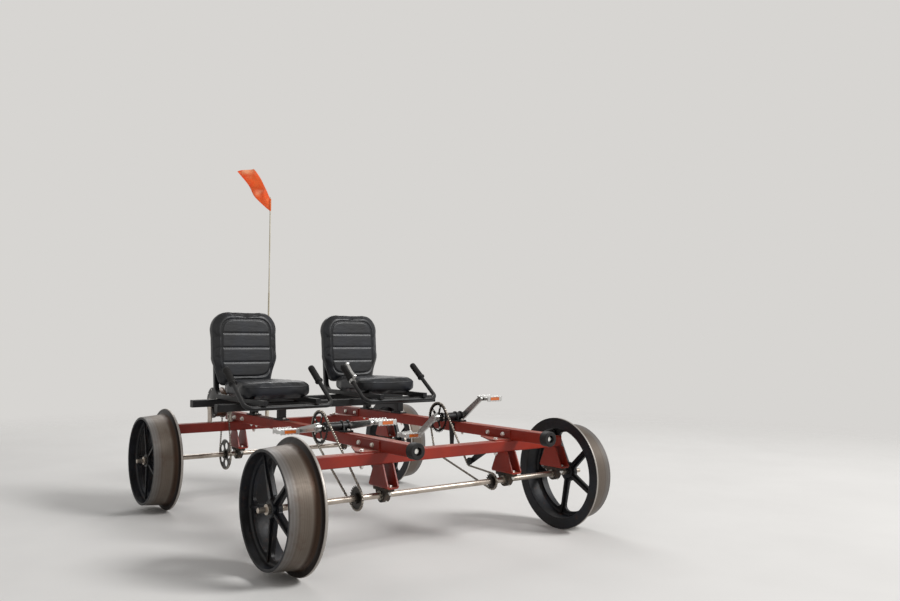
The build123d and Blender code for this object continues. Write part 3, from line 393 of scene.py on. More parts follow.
# Glass fibre rod of the flag: pale cream, with fibres along it
poleFibre = {"pale": "#d9d3c4", "yellow": "#b8ac8e"}


def makePoleFibre(look):
    material, tree, place = startMaterial("glassFibreRod")
    fibres = patches(place, 3.0, 0.3, 0.7, 3, (1, 1, 0.03))
    return endMaterial(material, {
        "Base Color": coats(look, "pale", (fibres, "yellow")),
        "Roughness": (fibres, 0.15, 0.35),
    }, (fibres, 0.1, 0.3))


# Coated upholstery vinyl: near black with cool patches of painted highlight, pebbled grain, and
# dust in its creases
seatVinyl = {"black": "#0c0d10", "sheen": "#141820", "dust": "#6c655f", "grain": 2.2,
             "rough": (0.32, 0.46), "gloss": 0.42}


def makeSeatVinyl(look):
    material, tree, place = startMaterial("upholsteryVinyl")
    dusty = settled(place, 50, 0.45, 0.85, 0.08, 0.1)
    pebble = add(tree, "TexVoronoi", {"Vector": place, "Scale": 1000 / look["grain"]},
                 feature="SMOOTH_F1")
    # Painted highlight: cool blue-black patches over the black vinyl
    return endMaterial(material, {
        "Base Color": coats(look, "black", (patches(place, 160, 0.35, 0.7), "sheen"),
                            (dusty, "dust")),
        "Roughness": patches(place, 35, detail=5, give=look["rough"]),
    }, (pebble, 0.3, 0.2), (patches(place, 28, 0.35, 0.65, 4, (1, 0.5, 1.6)), 0.8, 0.2),
       gloss=look["gloss"])


# Plain woven nylon of the flag: signal orange with daylight through it, and large pale patches of
# painted highlight. The threads are drawn at 1.6 mm, coarser than real ones, so that they show
flagCloth = {"orange": "#ff9850", "deep": "#ff7c34", "pale": "#ffe0c0", "thread": 1.6,
             "through": 0.5}


def makeFlagCloth(look):
    material, tree, place = startMaterial("orangeNylonWeave")
    threads = add(tree, "Mapping", {"Vector": add(tree, "UVMap", uv_map="weave"),
                                    "Scale": (1000 / look["thread"],) * 3})
    bands = [add(tree, "TexWave", {"Vector": threads, "Scale": 0.5, "Distortion": 0.4}, out="Fac",
                 bands_direction=way) for way in "XY"]
    weave = add(tree, "Math", bands, operation="MAXIMUM")
    # The large pale patches are painted highlight; the pale threads are the weave
    colour = coats(look, "orange", (patches(place, 60, 0.35, 0.7), "deep"),
                   (patches(place, 110, 0.42, 0.66, 2, give=(0, 0.7)), "pale"),
                   (add(tree, "Math", (weave, 0.12)), "pale"))
    shader = add(tree, "BsdfPrincipled", {
        "Base Color": colour,
        "Roughness": add(tree, "Math", (weave, 0.15, 0.55), operation="MULTIPLY_ADD"),
        "Normal": relief(tree, (weave, 0.1, 0.2))})
    behind = add(tree, "BsdfTranslucent", {"Color": colour})
    add(tree, "OutputMaterial", [add(tree, "MixShader", (look["through"], shader, behind))])
    return material


# Moulded acrylic reflectors: a field of small prisms under a clear amber face, dusty in patches
amberReflector = {"face": "#ec7c2e", "deep": "#b04f12", "dust": "#b79a83", "prism": 3.0,
                  "acrylic": 1.49, "coat": 0.5}


def makeReflectorAcrylic(look):
    material, tree, place = startMaterial("amberAcrylicReflector")
    prisms = add(tree, "TexVoronoi", {"Vector": place, "Scale": 1000 / look["prism"]},
                 distance="CHEBYCHEV")
    dust = patches(place, 18, 0.5, 0.8, 5, give=(0, 0.3))
    return endMaterial(material, {
        "Base Color": coats(look, "face", (prisms, "deep"), (dust, "dust")),
        "Roughness": (dust, 0.8, 0.14),
        "IOR": look["acrylic"],
        "Coat Weight": look["coat"],
    }, (prisms, 0.3, 0.5))


zinc = makeBrightMetal(zincPlate)
gripFinish = makeRubber(gripRubber)
reflectorFinish = makeReflectorAcrylic(amberReflector)
finishes = {
    "frame_paint": makeFramePaint(framePaint),
    "wheel_iron": makeWheelIron(wheelIron),
    "axle_steel": makeBrightMetal(groundSteel),
    "bearing_iron": makeBearingIron(bearingIron),
    "bumper_rubber": makeRubber(bumperRubber),
    "chain_steel": makeChainSteel(chainSteel),
    "toothed_steel": makeChainSteel(toothedSteel),
    "black_steel": makeBlackEnamel(blackEnamel),
    "crank_alloy": makeBrightMetal(forgedAlloy),
    "pedal_alloy": makeBrightMetal(castAlloy),
    "motor_black": makeMotorShell(motorShell),
    "pole_plastic": makePoleFibre(poleFibre),
    "seat_vinyl": makeSeatVinyl(seatVinyl),
    "flag_cloth": makeFlagCloth(flagCloth),
}
slots = {part["node"]: part["material_slot"] for part in frame["record"]["subparts"]}
for name, node in nodes.items():
    node.data.materials.clear()
    finish = "toothed_steel" if name.startswith("sprocket") else slots[name]
    node.data.materials.append(finishes[finish])
print("finishes made:", len(finishes))


# A bmesh becomes a shaded piece on its CAD body, in its slot's finish unless it has another
def finishPiece(name, shape, slot, body="frame", material=None, smooth=40):
    mesh = toMesh(name, shape)
    mesh.materials.append(material or finishes[slot])
    mesh.shade_smooth()
    mesh.set_sharp_from_angle(angle=math.radians(smooth))
    piece = newObject(name, mesh)
    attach(piece, body)
    return piece


def applyModifiers(piece):
    graph = bpy.context.evaluated_depsgraph_get()
    finished = bpy.data.meshes.new_from_object(piece.evaluated_get(graph))
    piece.modifiers.clear()
    piece.data = finished


# A rod from its start along a vector, with its two rims chamfered
def rod(shape, start, way, radius, sides, chamfer=0.0):
    way = Vector(way)
    place = Matrix.Translation(Vector(start) + way / 2) @ turnTo(way)
    made = bmesh.ops.create_cone(shape, cap_ends=True, segments=sides, radius1=radius,
                                 radius2=radius, depth=way.length, matrix=place)
    if chamfer:
        rims = dict.fromkeys(edge for vert in made["verts"] for edge in vert.link_edges
                             if any(len(face.verts) == sides for face in edge.link_faces))
        bmesh.ops.bevel(shape, geom=list(rims), offset=chamfer, offset_type="OFFSET",
                        affect="EDGES", segments=2, profile=0.5, material=-1)


# Rods one on another, each a length, a radius, its sides and its chamfer. It gives their end
def stack(shape, start, out, *steps):
    for length, radius, sides, chamfer in steps:
        rod(shape, start, out * length, radius, sides, chamfer)
        start = start + out * length
    return start


# Places on a circle round a centre, about the Y axis
def ringPlaces(centre, radius, count, first=0.0):
    turns = [math.tau * (number + first) / count for number in range(count)]
    return [centre + radius * Vector((math.cos(turn), 0, math.sin(turn))) for turn in turns]


# Fasteners stand this far into the face under them, so that no gap shows
sunk = 0.0001

# Hexagon bolts on washers, with a nut and the thread's end on the far side
boltSizes = {"flats": 0.017, "head": 0.0068, "nut": 0.0085, "radius": 0.005, "washer": 0.0112,
             "washerDeep": 0.0018, "proud": 0.006, "washerEdge": 0.0003, "hexEdge": 0.0009,
             "threadEdge": 0.0006}


def bolt(shape, place, direction, grip, scale=1.0, sizes=boltSizes):
    place, out = Vector(place), Vector(direction)
    corner = sizes["flats"] * scale / 2 / math.cos(math.pi / 6)
    washer = (sizes["washerDeep"] * scale, sizes["washer"] * scale, 20, sizes["washerEdge"])
    head, nut = [(sizes[end] * scale, corner, 6, sizes["hexEdge"] * scale)
                 for end in ("head", "nut")]
    stack(shape, place - out * sunk, out, washer, head)
    nutEnd = stack(shape, place - out * (grip - sunk), -out, washer, nut)
    threadEnd = nutEnd - out * sizes["proud"] * scale
    rod(shape, threadEnd, place + out * (washer[0] - sunk) - threadEnd, sizes["radius"] * scale, 14,
        sizes["threadEdge"] * scale)


# Chassis sizes shared by the bolts and welds. Corners are x of the axle, y of the beam, and the
# bracket's way along and across
chassis = {
    "tube": 0.0508, "crossBottom": 0.399, "crossTop": 0.4498, "beamTop": 0.5006, "plate": 0.006,
    "corners": [(0.765, -0.304, 1, -1), (0.765, 0.410, 1, -1),
                (-0.765, -0.304, -1, 1), (-0.765, 0.410, -1, -1)],
    "boltXs": (-0.137, -0.028), "boltZ": 0.023, "footBolt": 0.074,
    "axleXs": (0.765, -0.765), "hangerYs": (-0.684, -0.296, 0.376, 0.684),
    "hangerTop": 0.068, "hangerWidth": 0.056,
    "bearingSpacing": 0.096, "bearingTop": 0.3005, "bearingBase": 0.013, "bearingBolt": 0.92,
    "beamYs": (-0.304, 0.410), "seatXs": (-0.2, -0.54), "seatFoot": 0.006,
    "seatFootSpacing": 0.066, "seatPost": 0.038, "saddle": 0.008, "saddleSpacing": 0.080,
    "crankXs": (0.445, 0.345), "beamBolt": 0.8,
}
hangerPlaces = [(x, y) for x in chassis["axleXs"] for y in chassis["hangerYs"]]
seatPlaces = [(x, y) for y in chassis["beamYs"] for x in chassis["seatXs"]]


def makeChassisBolts(sizes):
    shape = bmesh.new()
    through = sizes["plate"] + sizes["tube"]
    for x, beamY, along, across in sizes["corners"]:
        face, top = beamY + across * sizes["tube"] / 2, sizes["crossTop"]
        for offset in sizes["boltXs"]:
            place = (x + along * offset, face + across * sizes["plate"], top + sizes["boltZ"])
            bolt(shape, place, (0, across, 0), through)
        place = (x, face + across * sizes["footBolt"], top + sizes["plate"])
        bolt(shape, place, (0, 0, 1), through)
    # pairs of upright bolts: their places, spacing, the plate's underside, its depth, what it lies
    # on, and their scale
    pairs = (
        (hangerPlaces, sizes["bearingSpacing"], sizes["bearingTop"], sizes["plate"],
         sizes["bearingBase"], sizes["bearingBolt"]),
        (seatPlaces, sizes["seatFootSpacing"], sizes["beamTop"], sizes["seatFoot"],
         sizes["tube"], sizes["beamBolt"]),
        (zip(sizes["crankXs"], sizes["beamYs"]), sizes["saddleSpacing"], sizes["beamTop"],
         sizes["saddle"], sizes["tube"], sizes["beamBolt"]),
    )
    for places, spacing, bottom, deep, under, scale in pairs:
        for x, y in places:
            for side in (-1, 1):
                place = (x + side * spacing / 2, y, bottom + deep)
                bolt(shape, place, (0, 0, 1), deep + under, scale)
    finishPiece("chassis_bolts", shape, "axle_steel", material=zinc)


makeChassisBolts(chassis)


# Weld beads: a row of overlapping ripples where plate meets tube
weldBead = {"radius": 0.0032, "step": 0.0034, "sink": 0.0004, "short": 0.010}


def weld(shape, start, end, settings=weldBead):
    start, end = Vector(start), Vector(end)
    ripples = max(2, round((end - start).length / settings["step"]))
    for number in range(ripples + 1):
        place = Matrix.Translation(start.lerp(end, number / ripples))
        bmesh.ops.create_icosphere(shape, subdivisions=1, radius=settings["radius"], matrix=place)


def makeWelds(sizes, settings):
    shape = bmesh.new()
    half = sizes["hangerTop"] / 2 - settings["short"]
    z = sizes["crossBottom"] - settings["sink"]
    for x, y in hangerPlaces:
        for side in (-1, 1):
            edge = y + side * (sizes["hangerWidth"] / 2 - settings["sink"])
            weld(shape, (x - half, edge, z), (x + half, edge, z))
    finishPiece("hanger_welds", shape, "frame_paint", smooth=60)
    shape = bmesh.new()
    half, z = sizes["seatPost"] / 2, sizes["beamTop"] + sizes["seatFoot"]
    for x, y in seatPlaces:
        ring = [(x + a * half, y + b * half, z) for a, b in ((-1, -1), (1, -1), (1, 1), (-1, 1))]
        for first, second in zip(ring, ring[1:] + ring[:1]):
            weld(shape, first, second)
    finishPiece("seat_post_welds", shape, "black_steel", smooth=60)


makeWelds(chassis, weldBead)


# Grease nipples on the bearing housings, leaning out to the front: a hexagon and a round tip
nipples = {"root": 0.029, "lean": 40, "hexagon": (0.004, 0.0040, 6, 0.0004),
           "tip": (0.004, 0.0024, 12, 0.0006)}


def makeNipples(sizes):
    shape = bmesh.new()
    lean = math.radians(180 - sizes["lean"])
    out = Vector((math.sin(lean), 0, math.cos(lean)))
    for x, y in hangerPlaces:
        root = Vector((x, y, joints["front_wheels_turn"].z)) + out * sizes["root"]
        stack(shape, root, out, sizes["hexagon"], sizes["tip"])
    finishPiece("grease_nipples", shape, "axle_steel", material=zinc)


makeNipples(nipples)


# Bumper fixings: a cup washer and a domed cap nut at the bottom of each rubber's recess
bumperFixing = {"z": 0.4752, "floorX": 1.008,
                "washer": (0.0022, 0.0160, 28, 0.0006), "cap": (0.0105, 0.0118, 28, 0.0032)}


def makeBumperFixings(sizes):
    shape = bmesh.new()
    for y in chassis["beamYs"]:
        floor = Vector((sizes["floorX"] - sunk, y, sizes["z"]))
        for form in (sizes["washer"], sizes["cap"]):
            stack(shape, floor, Vector((1, 0, 0)), form)
    finishPiece("bumper_fixings", shape, "axle_steel", material=zinc)


makeBumperFixings(bumperFixing)


# Motor: nuts on its axle, and a ring of small screws in each cover
motorFittings = {"faces": (-0.467, -0.347), "washer": (0.002, 0.0145, 24, 0.0004),
                 "nut": (0.006, 0.0125, 6, 0.0008), "half": 0.030, "screwRing": 0.0725,
                 "screws": 9, "screw": (0.0028, 0.0042, 12, 0.0008)}


def makeMotorFittings(sizes):
    centre = joints["motor_turn"]
    nuts, screws = bmesh.new(), bmesh.new()
    for face, side in zip(sizes["faces"], (-1, 1)):
        out = Vector((0, side, 0))
        start = Vector((centre.x, face, centre.z)) - out * sunk
        stack(nuts, start, out, sizes["washer"], sizes["nut"])
        cover = centre + out * (sizes["half"] - sunk)
        for start in ringPlaces(cover, sizes["screwRing"], sizes["screws"], 0.5):
            stack(screws, start, out, sizes["screw"])
    finishPiece("motor_axle_nuts", nuts, "axle_steel", material=zinc)
    finishPiece("motor_cover_screws", screws, "axle_steel", "motor_rotor", zinc)


makeMotorFittings(motorFittings)
print("bolts, welds and fittings seated")


# The pedals' nodes, each with its middle on its pin
pedals = {}
for name, pin in joints.items():
    if name.startswith("pedal_"):
        low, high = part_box(name.replace("_turn", ""))
        pedals[name.replace("_turn", "")] = Vector((pin.x, (low[1] + high[1]) / 2, pin.z))

# Pedal reflectors: an amber block in a thin rim on the front and rear of each cage
reflector = {"length": 0.054, "height": 0.0145, "proud": 0.0016, "seat": 0.0002,
             "halfWidth": 0.042, "rim": 0.0022, "recess": 0.0006}


def makeReflectors(sizes):
    block = Matrix.Diagonal((sizes["proud"], sizes["length"], sizes["height"], 1))
    reach = sizes["halfWidth"] - sizes["seat"] + sizes["proud"] / 2
    for pedal, middle in pedals.items():
        shape = bmesh.new()
        for out in (-1, 1):
            place = Matrix.Translation(middle + Vector((out * reach, 0, 0)))
            made = bmesh.ops.create_cube(shape, size=1.0, matrix=place @ block)
            faces = {face for vert in made["verts"] for face in vert.link_faces}
            front = [face for face in faces if face.normal.x * out > 0.9]
            bmesh.ops.inset_region(shape, faces=front, thickness=sizes["rim"],
                                   depth=-sizes["recess"])
        finishPiece("reflectors_" + pedal, shape, "pedal_alloy", pedal + "_body", reflectorFinish)


makeReflectors(reflector)


# Pedal teeth: small pyramids along the upper and lower edges of each cage plate
pedalTeeth = {"x": 0.0402, "halfHigh": 0.012, "halfLong": 0.040, "count": 11, "radius": 0.0021,
              "tipRadius": 0.00063, "high": 0.0024, "seat": 0.0002}


def makePedalTeeth(sizes):
    reach = sizes["halfHigh"] + sizes["high"] / 2 - sizes["seat"]
    for pedal, middle in pedals.items():
        shape = bmesh.new()
        for along in (-1, 1):
            for up in (-1, 1):
                turn = turnTo((0, 0, up)) @ Matrix.Rotation(math.pi / 4, 4, "Z")
                for number in range(sizes["count"]):
                    across = sizes["halfLong"] * (2 * number / (sizes["count"] - 1) - 1)
                    foot = middle + Vector((along * sizes["x"], across, up * reach))
                    bmesh.ops.create_cone(shape, cap_ends=True, segments=4,
                                          radius1=sizes["radius"], radius2=sizes["tipRadius"],
                                          depth=sizes["high"],
                                          matrix=Matrix.Translation(foot) @ turn)
        finishPiece("teeth_" + pedal, shape, "pedal_alloy", pedal + "_body", smooth=30)


makePedalTeeth(pedalTeeth)


# Chainring bolts, one on each arm of the ring, on both of its faces
chainring = {"boltCircle": 0.052, "bolts": 5, "bolt": (0.0022, 0.0048, 14, 0.0006),
             "half": 0.0011, "ys": {"right": -0.426, "left": 0.288}}


def makeChainringBolts(sizes):
    for side, y in sizes["ys"].items():
        shape = bmesh.new()
        centre = joints[f"crank_{side}_turn"]
        centre = Vector((centre.x, y, centre.z))
        for place in ringPlaces(centre, sizes["boltCircle"], sizes["bolts"]):
            for out in (Vector((0, -1, 0)), Vector((0, 1, 0))):
                stack(shape, place + out * (sizes["half"] - sunk), out, sizes["bolt"])
        finishPiece(f"chainring_bolts_{side}", shape, "crank_alloy", f"crank_{side}", zinc)


makeChainringBolts(chainring)
print("pedals and chainrings dressed:", len(pedals), "pedals")


# Chains, half inch pitch. Each wheel is x, z, pitch radius and turn, and a turn of -1 lies outside
# the loop
pitch = 0.0127
crankZ = 0.5256
axleZ = 0.2675
idlerLine = 0.0216


def toothLine(teeth):
    return pitch / (2 * math.sin(math.pi / teeth))


chains = [
    {"node": "chain_right", "y": -0.426, "wheels": [
        (0.445, crankZ, toothLine(36), 1), (0.765, axleZ, toothLine(24), 1)]},
    {"node": "chain_left", "y": 0.288, "wheels": [
        (0.345, crankZ, toothLine(36), 1), (0.601, 0.339, idlerLine, -1),
        (0.765, axleZ, toothLine(18), 1), (0.335, 0.368, idlerLine, 1)]},
    {"node": "chain_rear", "y": -0.372, "wheels": [
        (-0.775, 0.556, toothLine(16), 1), (-0.765, axleZ, toothLine(40), 1)]},
]
# A link's outer ends have pins and its inner ones rollers: radius, half length and sides
link = {"endRadius": 0.0043, "waist": 0.0029, "plate": 0.0009, "innerGap": 0.0017,
        "outerGap": 0.0027, "outer": (0.0018, 0.0040, 8), "inner": (0.0039, 0.0015, 10)}


# Where the straight run from one wheel to the next leaves and lands
def runBetween(first, second):
    distance = math.hypot(second[0] - first[0], second[1] - first[1])
    heading = math.atan2(second[1] - first[1], second[0] - first[0])
    angle = heading - math.asin((first[3] * first[2] - second[3] * second[2]) / distance)
    side = Vector((-math.sin(angle), math.cos(angle)))
    return [Vector(wheel[:2]) + side * wheel[3] * wheel[2] for wheel in (first, second)]


# The pins' places along a chain's pitch line
def pinPlaces(wheels):
    runs = [runBetween(a, b) for a, b in zip(wheels, wheels[1:] + wheels[:1])]
    stretches = []
    for index, (x, z, radius, turn) in enumerate(wheels):
        centre = Vector((x, z))
        arrive, leave = runs[index - 1][1] - centre, runs[index][0] - centre
        start = math.atan2(arrive.y, arrive.x)
        sweep = (math.atan2(leave.y, leave.x) - start) * -turn % math.tau
        stretches.append((radius * sweep, "bend", (centre, radius, start, -turn * sweep)))
        stretches.append(((runs[index][1] - runs[index][0]).length, "run", runs[index]))
    total = sum(stretch[0] for stretch in stretches)
    count = round(total / pitch)
    places, done, index = [], 0.0, 0
    for number in range(count):
        along = number * total / count
        while along > done + stretches[index][0]:
            done += stretches[index][0]
            index += 1
        length, kind, facts = stretches[index]
        share = (along - done) / length
        if kind == "run":
            places.append(facts[0].lerp(facts[1], share))
        else:
            centre, radius, start, sweep = facts
            angle = start + sweep * share
            places.append(centre + Vector((math.cos(angle), math.sin(angle))) * radius)
    return places


# One link along X from the first pin. Where its ends differ, the plates lean from one to the other
def makeLink(sizes, ends):
    shape = bmesh.new()
    gaps = [sizes[end + "Gap"] for end in ends]
    for side in (-1, 1):
        made = bmesh.ops.create_circle(shape, cap_ends=True, segments=16, radius=sizes["endRadius"],
                                       matrix=Matrix.Rotation(math.pi / 2, 4, "X"))
        for vert in made["verts"]:
            if abs(vert.co.x) < 1e-5:
                vert.co.z = math.copysign(sizes["waist"], vert.co.z)
            else:
                vert.co.x += math.copysign(pitch / 2, vert.co.x)
            vert.co.x += pitch / 2
            vert.co.y = side * (gaps[0] + (gaps[1] - gaps[0]) * vert.co.x / pitch)
        faces = list({face for vert in made["verts"] for face in vert.link_faces})
        raised = bmesh.ops.extrude_face_region(shape, geom=faces, use_keep_orig=True)
        lifted = [part for part in raised["geom"] if isinstance(part, bmesh.types.BMVert)]
        bmesh.ops.translate(shape, verts=lifted, vec=(0, side * sizes["plate"], 0))
    for x, end in zip((0, pitch), ends):
        radius, half, sides = sizes[end]
        rod(shape, (x, -half, 0), (0, 2 * half, 0), radius, sides)
    bmesh.ops.recalc_face_normals(shape, faces=shape.faces)
    return toMesh("link", shape)


def makeChains(settings, sizes):
    outer, inner, cranked = [makeLink(sizes, ends) for ends in (
        ("outer", "outer"), ("inner", "inner"), ("outer", "inner"))]
    for chain in settings:
        shape = bmesh.new()
        places = pinPlaces(chain["wheels"])
        links = [outer, inner] * (len(places) // 2) + [cranked] * (len(places) % 2)
        for mesh, first, second in zip(links, places, places[1:] + places[:1]):
            way = second - first
            turn = Matrix.Rotation(-math.atan2(way.y, way.x), 4, "Y")
            copy = mesh.copy()
            copy.transform(Matrix.Translation((first.x, chain["y"], first.y)) @ turn)
            shape.from_mesh(copy)
            bpy.data.meshes.remove(copy)
        piece = finishPiece("links_" + chain["node"], shape, "chain_steel", smooth=35)
        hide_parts(chain["node"])
        print(chain["node"], len(places), "links")
    for mesh in (outer, inner, cranked):
        bpy.data.meshes.remove(mesh)


makeChains(chains, link)


# Ribbed rubber grips, spun round the end of each hand bar. Flange, rib and tip are radii and
# heights along the bar, a rib's from its own foot
grips = {
    "roots": [(0.015, -0.590, 0.582), (0.015, -0.124, 0.582),
              (-0.085, 0.124, 0.582), (-0.085, 0.590, 0.582)],
    "lean": 54, "sides": 28, "ribs": 19, "firstRib": 0.19812, "ribStep": 0.0054,
    "flange": [(0.0155, 0.1894), (0.0192, 0.1894), (0.0208, 0.191), (0.0208, 0.195),
               (0.0192, 0.1964), (0.0162, 0.1965)],
    "rib": [(0.0162, 0.0), (0.0174, 0.0008), (0.0174, 0.0026), (0.0162, 0.0034)],
    "tip": [(0.0162, 0.3022), (0.0160, 0.3062), (0.0135, 0.3084), (0.0100, 0.3094), (0.0, 0.3095)],
}


def makeGrips(sizes):
    shape = bmesh.new()
    lean = math.radians(sizes["lean"])
    axis = Vector((-math.sin(lean), 0, math.cos(lean)))
    feet = [sizes["firstRib"] + number * sizes["ribStep"] for number in range(sizes["ribs"])]
    ribs = [(radius, foot + height) for foot in feet for radius, height in sizes["rib"]]
    for root in sizes["roots"]:
        place = Matrix.Translation(root) @ Matrix.Rotation(-lean, 4, "Y")
        verts = [shape.verts.new(place @ Vector((radius, 0, height)))
                 for radius, height in sizes["flange"] + ribs + sizes["tip"]]
        edges = [shape.edges.new(pair) for pair in zip(verts, verts[1:])]
        bmesh.ops.spin(shape, geom=verts + edges, cent=root, axis=axis, dvec=(0, 0, 0),
                       angle=math.tau, steps=sizes["sides"], use_merge=True, use_duplicate=False)
    bmesh.ops.remove_doubles(shape, verts=shape.verts, dist=0.00002)
    bmesh.ops.recalc_face_normals(shape, faces=shape.faces)
    finishPiece("grip_rubbers", shape, "bumper_rubber", material=gripFinish, smooth=50)


makeGrips(grips)
print("chains and grips made")


# Flag: one hemmed pennant of cloth, upright at the pole and turned flat where the wind lifts its
# free end. Folds are a share of the ripple, and turns along and across the cloth
flag = {"pole": (-0.765, -0.126), "middle": 1.693, "hoist": 0.070, "fly": 0.104, "length": 0.269,
        "heading": 216, "rise": 52, "twist": 84, "twistCurve": 2 / 3, "wave": 0.014,
        "ripple": 0.009, "folds": ((1.0, 9, 4), (0.4, 13, -7)), "still": 1 / 3,
        "across": 26, "along": 64, "thick": 0.0006, "poleRadius": 0.0035, "hemRadius": 0.005}


def makeFlag(sizes):
    heading, rise = math.radians(sizes["heading"]), math.radians(sizes["rise"])
    out = Vector((math.cos(heading), math.sin(heading), 0))
    up = Vector((0, 0, 1))
    aside = up.cross(out)
    shape = bmesh.new()
    weave = shape.loops.layers.uv.new("weave")
    bmesh.ops.create_grid(shape, x_segments=sizes["along"], y_segments=sizes["across"], size=0.5)
    flat = {}
    for vert in shape.verts:
        share, height = vert.co.x + 0.5, vert.co.y
        tall = sizes["hoist"] + (sizes["fly"] - sizes["hoist"]) * share
        flat[vert] = Vector((share * sizes["length"], height * tall))
        reach = sizes["poleRadius"] + sizes["length"] * share
        centre = Vector((*sizes["pole"], sizes["middle"])) + up * reach * math.sin(rise)
        centre += out * (reach * math.cos(rise) + sizes["poleRadius"] / 2)
        centre += aside * sizes["wave"] * math.sin(math.tau * share)
        turn = math.radians(sizes["twist"] * share ** sizes["twistCurve"])
        across = up * math.cos(turn) - out * math.sin(turn)
        fold = sum(size * math.sin(turns * share + lean * height)
                   for size, turns, lean in sizes["folds"])
        ripple = aside * sizes["ripple"] * fold * min(1, share / sizes["still"])
        vert.co = centre + across * height * tall + ripple
    for face in shape.faces:
        for loop in face.loops:
            loop[weave].uv = flat[loop.vert]
    piece = finishPiece("flag_cloth", shape, "flag_cloth", smooth=180)
    solid = piece.modifiers.new("thickness", "SOLIDIFY")
    solid.thickness = sizes["thick"]
    solid.offset = 0
    applyModifiers(piece)
    hem = bmesh.new()
    foot = (*sizes["pole"], sizes["middle"] - sizes["hoist"] / 2)
    rod(hem, foot, up * sizes["hoist"], sizes["hemRadius"], 20, 0.0005)
    hemPiece = finishPiece("flag_hem", hem, "flag_cloth")
    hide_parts("flag")


makeFlag(flag)
print("flag hung")


# Seats: foam under stretched vinyl. The CAD pad is drawn in, blown up as cloth, and then its panels
# are sewn. A seam's outline is a squarish ring of these half sizes on the pad's face, and the axes
# are the ones along the pad and through it
seats = {
    "voxel": 0.006, "drawIn": 0.009, "pressure": 4.0, "quality": 5, "frames": 20, "cap": 0.015,
    "smoothing": 5, "seamDepth": 0.0040, "seamWidth": 0.0042, "square": 5,
    "channelDepth": 0.0030, "channelWidth": 0.0050, "channelFade": 12,
    "weltHigh": 0.0016, "weltWidth": 0.0028, "weltAt": 0.018, "faceFrom": 0.3, "sideTo": 0.75,
    "pan": {"name": "cushion_pan", "node": "seat_pan_right", "other": "seat_pan_left",
            "centre": (-0.290, -0.357, 0.6553), "lean": 0.0, "axes": (0, 2), "half": (0.150, 0.140),
            "channels": (-0.05, 0.05)},
    "back": {"name": "cushion_back", "node": "seat_back_right", "other": "seat_back_left",
             "centre": (-0.5685, -0.357, 0.8602), "lean": 6.0, "axes": (2, 0),
             "half": (0.155, 0.138), "channels": (-0.078, 0.0, 0.078)},
    "shift": (-0.100, 0.714, 0.0),
}


def blowUp(pad, settings):
    rest = [vert.co.copy() for vert in pad.data.vertices]
    cloth = pad.modifiers.new("cloth", "CLOTH")
    cloth.settings.quality = settings["quality"]
    cloth.settings.use_pressure = True
    cloth.settings.uniform_pressure_force = settings["pressure"]
    cloth.settings.effector_weights.gravity = 0.0
    cloth.point_cache.frame_end = settings["frames"]
    for number in range(1, settings["frames"] + 1):
        bpy.context.scene.frame_set(number)
    applyModifiers(pad)
    bpy.context.scene.frame_set(1)
    for vert, start in zip(pad.data.vertices, rest):
        moved = vert.co - start
        if moved.length > settings["cap"]:
            vert.co = start + moved * (settings["cap"] / moved.length)


# Panel seams, channels and the welt are pressed into the finished skin
def sew(mesh, settings, shape):
    turn = Matrix.Rotation(math.radians(shape["lean"]), 3, "Y")
    centre = Vector(shape["centre"])
    halfLong, halfWide = shape["half"]
    square = settings["square"]
    long, deep = shape["axes"]
    moves = []
    for vert in mesh.vertices:
        place, facing = turn @ (vert.co - centre), (turn @ vert.normal)[deep]
        move = 0.0
        ring = (abs(place[long]) / halfLong) ** square + (abs(place.y) / halfWide) ** square
        ring **= 1 / square
        if facing > settings["faceFrom"]:
            offSeam = (ring - 1) * min(halfLong, halfWide)
            move -= settings["seamDepth"] * math.exp(-(offSeam / settings["seamWidth"]) ** 2)
            if ring < 1:
                fade = min(1.0, (1 - ring) * settings["channelFade"])
                for channel in shape["channels"]:
                    offChannel = (place[long] - channel) / settings["channelWidth"]
                    move -= settings["channelDepth"] * fade * math.exp(-offChannel ** 2)
        if abs(facing) < settings["sideTo"]:
            offWelt = place[deep] - settings["weltAt"]
            move += settings["weltHigh"] * math.exp(-(offWelt / settings["weltWidth"]) ** 2)
        moves.append(vert.normal * move)
    for vert, move in zip(mesh.vertices, moves):
        vert.co += move


def makeCushion(settings, shape):
    skin = bmesh.new()
    skin.from_mesh(nodes[shape["node"]].data)
    bmesh.ops.remove_doubles(skin, verts=skin.verts, dist=0.00005)
    mesh = toMesh(shape["name"], skin)
    pad = newObject(shape["name"] + "_right", mesh)
    remesh = pad.modifiers.new("remesh", "REMESH")
    remesh.mode = "VOXEL"
    remesh.voxel_size = settings["voxel"]
    applyModifiers(pad)
    bpy.data.meshes.remove(mesh)
    drawn = [vert.co - vert.normal * settings["drawIn"] for vert in pad.data.vertices]
    for vert, place in zip(pad.data.vertices, drawn):
        vert.co = place
    blowUp(pad, settings)
    skin = bmesh.new()
    skin.from_mesh(pad.data)
    for number in range(settings["smoothing"]):
        bmesh.ops.smooth_vert(skin, verts=skin.verts, factor=0.5, use_axis_x=True, use_axis_y=True,
                              use_axis_z=True)
    skin.to_mesh(pad.data)
    skin.free()
    subdivide = pad.modifiers.new("subdivide", "SUBSURF")
    subdivide.levels = subdivide.render_levels = 1
    applyModifiers(pad)
    sew(pad.data, settings, shape)
    pad.data.materials.clear()
    pad.data.materials.append(finishes["seat_vinyl"])
    pad.data.shade_smooth()
    twin = newObject(shape["name"] + "_left", pad.data.copy())
    twin.data.transform(Matrix.Translation(settings["shift"]))
    for piece, node in ((pad, shape["node"]), (twin, shape["other"])):
        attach(piece, "frame")
        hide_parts(node)
    print(shape["name"], len(pad.data.polygons), "faces")


makeCushion(seats, seats["pan"])
makeCushion(seats, seats["back"])


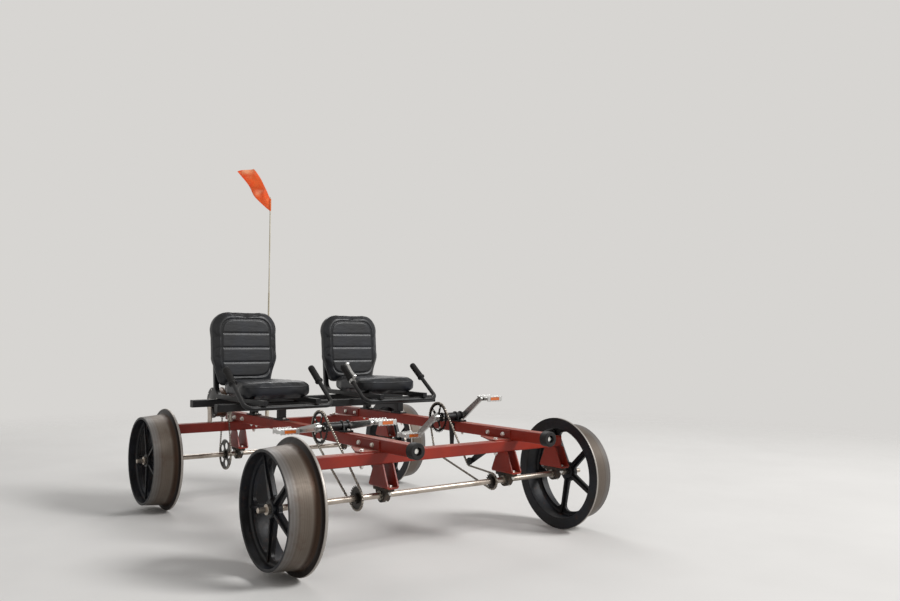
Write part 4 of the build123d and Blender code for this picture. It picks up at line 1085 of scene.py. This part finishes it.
# Floor, pale and plain, and a soft studio round it. The floor fades out between these two radii
studio = {"floor": "#eae8e5", "floorShade": "#e4e2df", "floorRough": 0.85, "floorSize": 16.0,
          "fade": (3.2, 7.2), "sky": "#d7d5d2", "light": "#ffffff", "ambient": 0.27}


def makeStudio(settings):
    shape = bmesh.new()
    bmesh.ops.create_grid(shape, x_segments=1, y_segments=1, size=settings["floorSize"] / 2)
    floor = newObject("floor", toMesh("floor", shape))
    material, tree, place = startMaterial("paintedStudioFloor")
    away = add(tree, "VectorMath", [place], out="Value", operation="LENGTH")
    shade = patches(place, 900, 0.2, 0.8, 3)
    floor.data.materials.append(endMaterial(material, {
        "Base Color": coats(settings, "floor", (shade, "floorShade")),
        "Roughness": settings["floorRough"],
        "Alpha": add(tree, "MapRange", (away, *settings["fade"], 1.0, 0.0)),
    }))
    world = bpy.data.worlds.new("studio")
    bpy.context.scene.world = world
    world.use_nodes = True
    tree = world.node_tree
    tree.nodes.clear()
    lit = add(tree, "Background", {"Color": settings["light"], "Strength": settings["ambient"]})
    shown = add(tree, "LightPath", out="Is Camera Ray")
    for ray in ("Is Glossy Ray", "Is Transmission Ray"):
        shown = add(tree, "Math", (shown, add(tree, "LightPath", out=ray)), operation="MAXIMUM")
    seen = add(tree, "Background", {"Color": settings["sky"]})
    add(tree, "OutputWorld", [add(tree, "MixShader", (shown, lit, seen))])


makeStudio(studio)

# The key stands high off the left front corner; the fill and the back lamp stay weak
lamps = [
    {"name": "key", "place": (8.4, 6.0, 8.3), "size": 3.8, "watts": 1200},
    {"name": "fill", "place": (2.6, -4.6, 2.4), "size": 3.5, "watts": 16},
    {"name": "back", "place": (-5.6, 2.4, 5.4), "size": 3.6, "watts": 150},
]
aimAt = (0, 0, 0.5)


def makeLamp(settings):
    data = bpy.data.lights.new(settings["name"], "AREA")
    data.energy = settings["watts"]
    data.size = settings["size"]
    lamp = newObject(settings["name"], data)
    place = Vector(settings["place"])
    lamp.matrix_world = Matrix.Translation(place) @ turnTo(Vector(aimAt) - place, "-Z")


for settings in lamps:
    makeLamp(settings)
bpy.context.scene.view_settings.view_transform = "Standard"
print("studio lit")
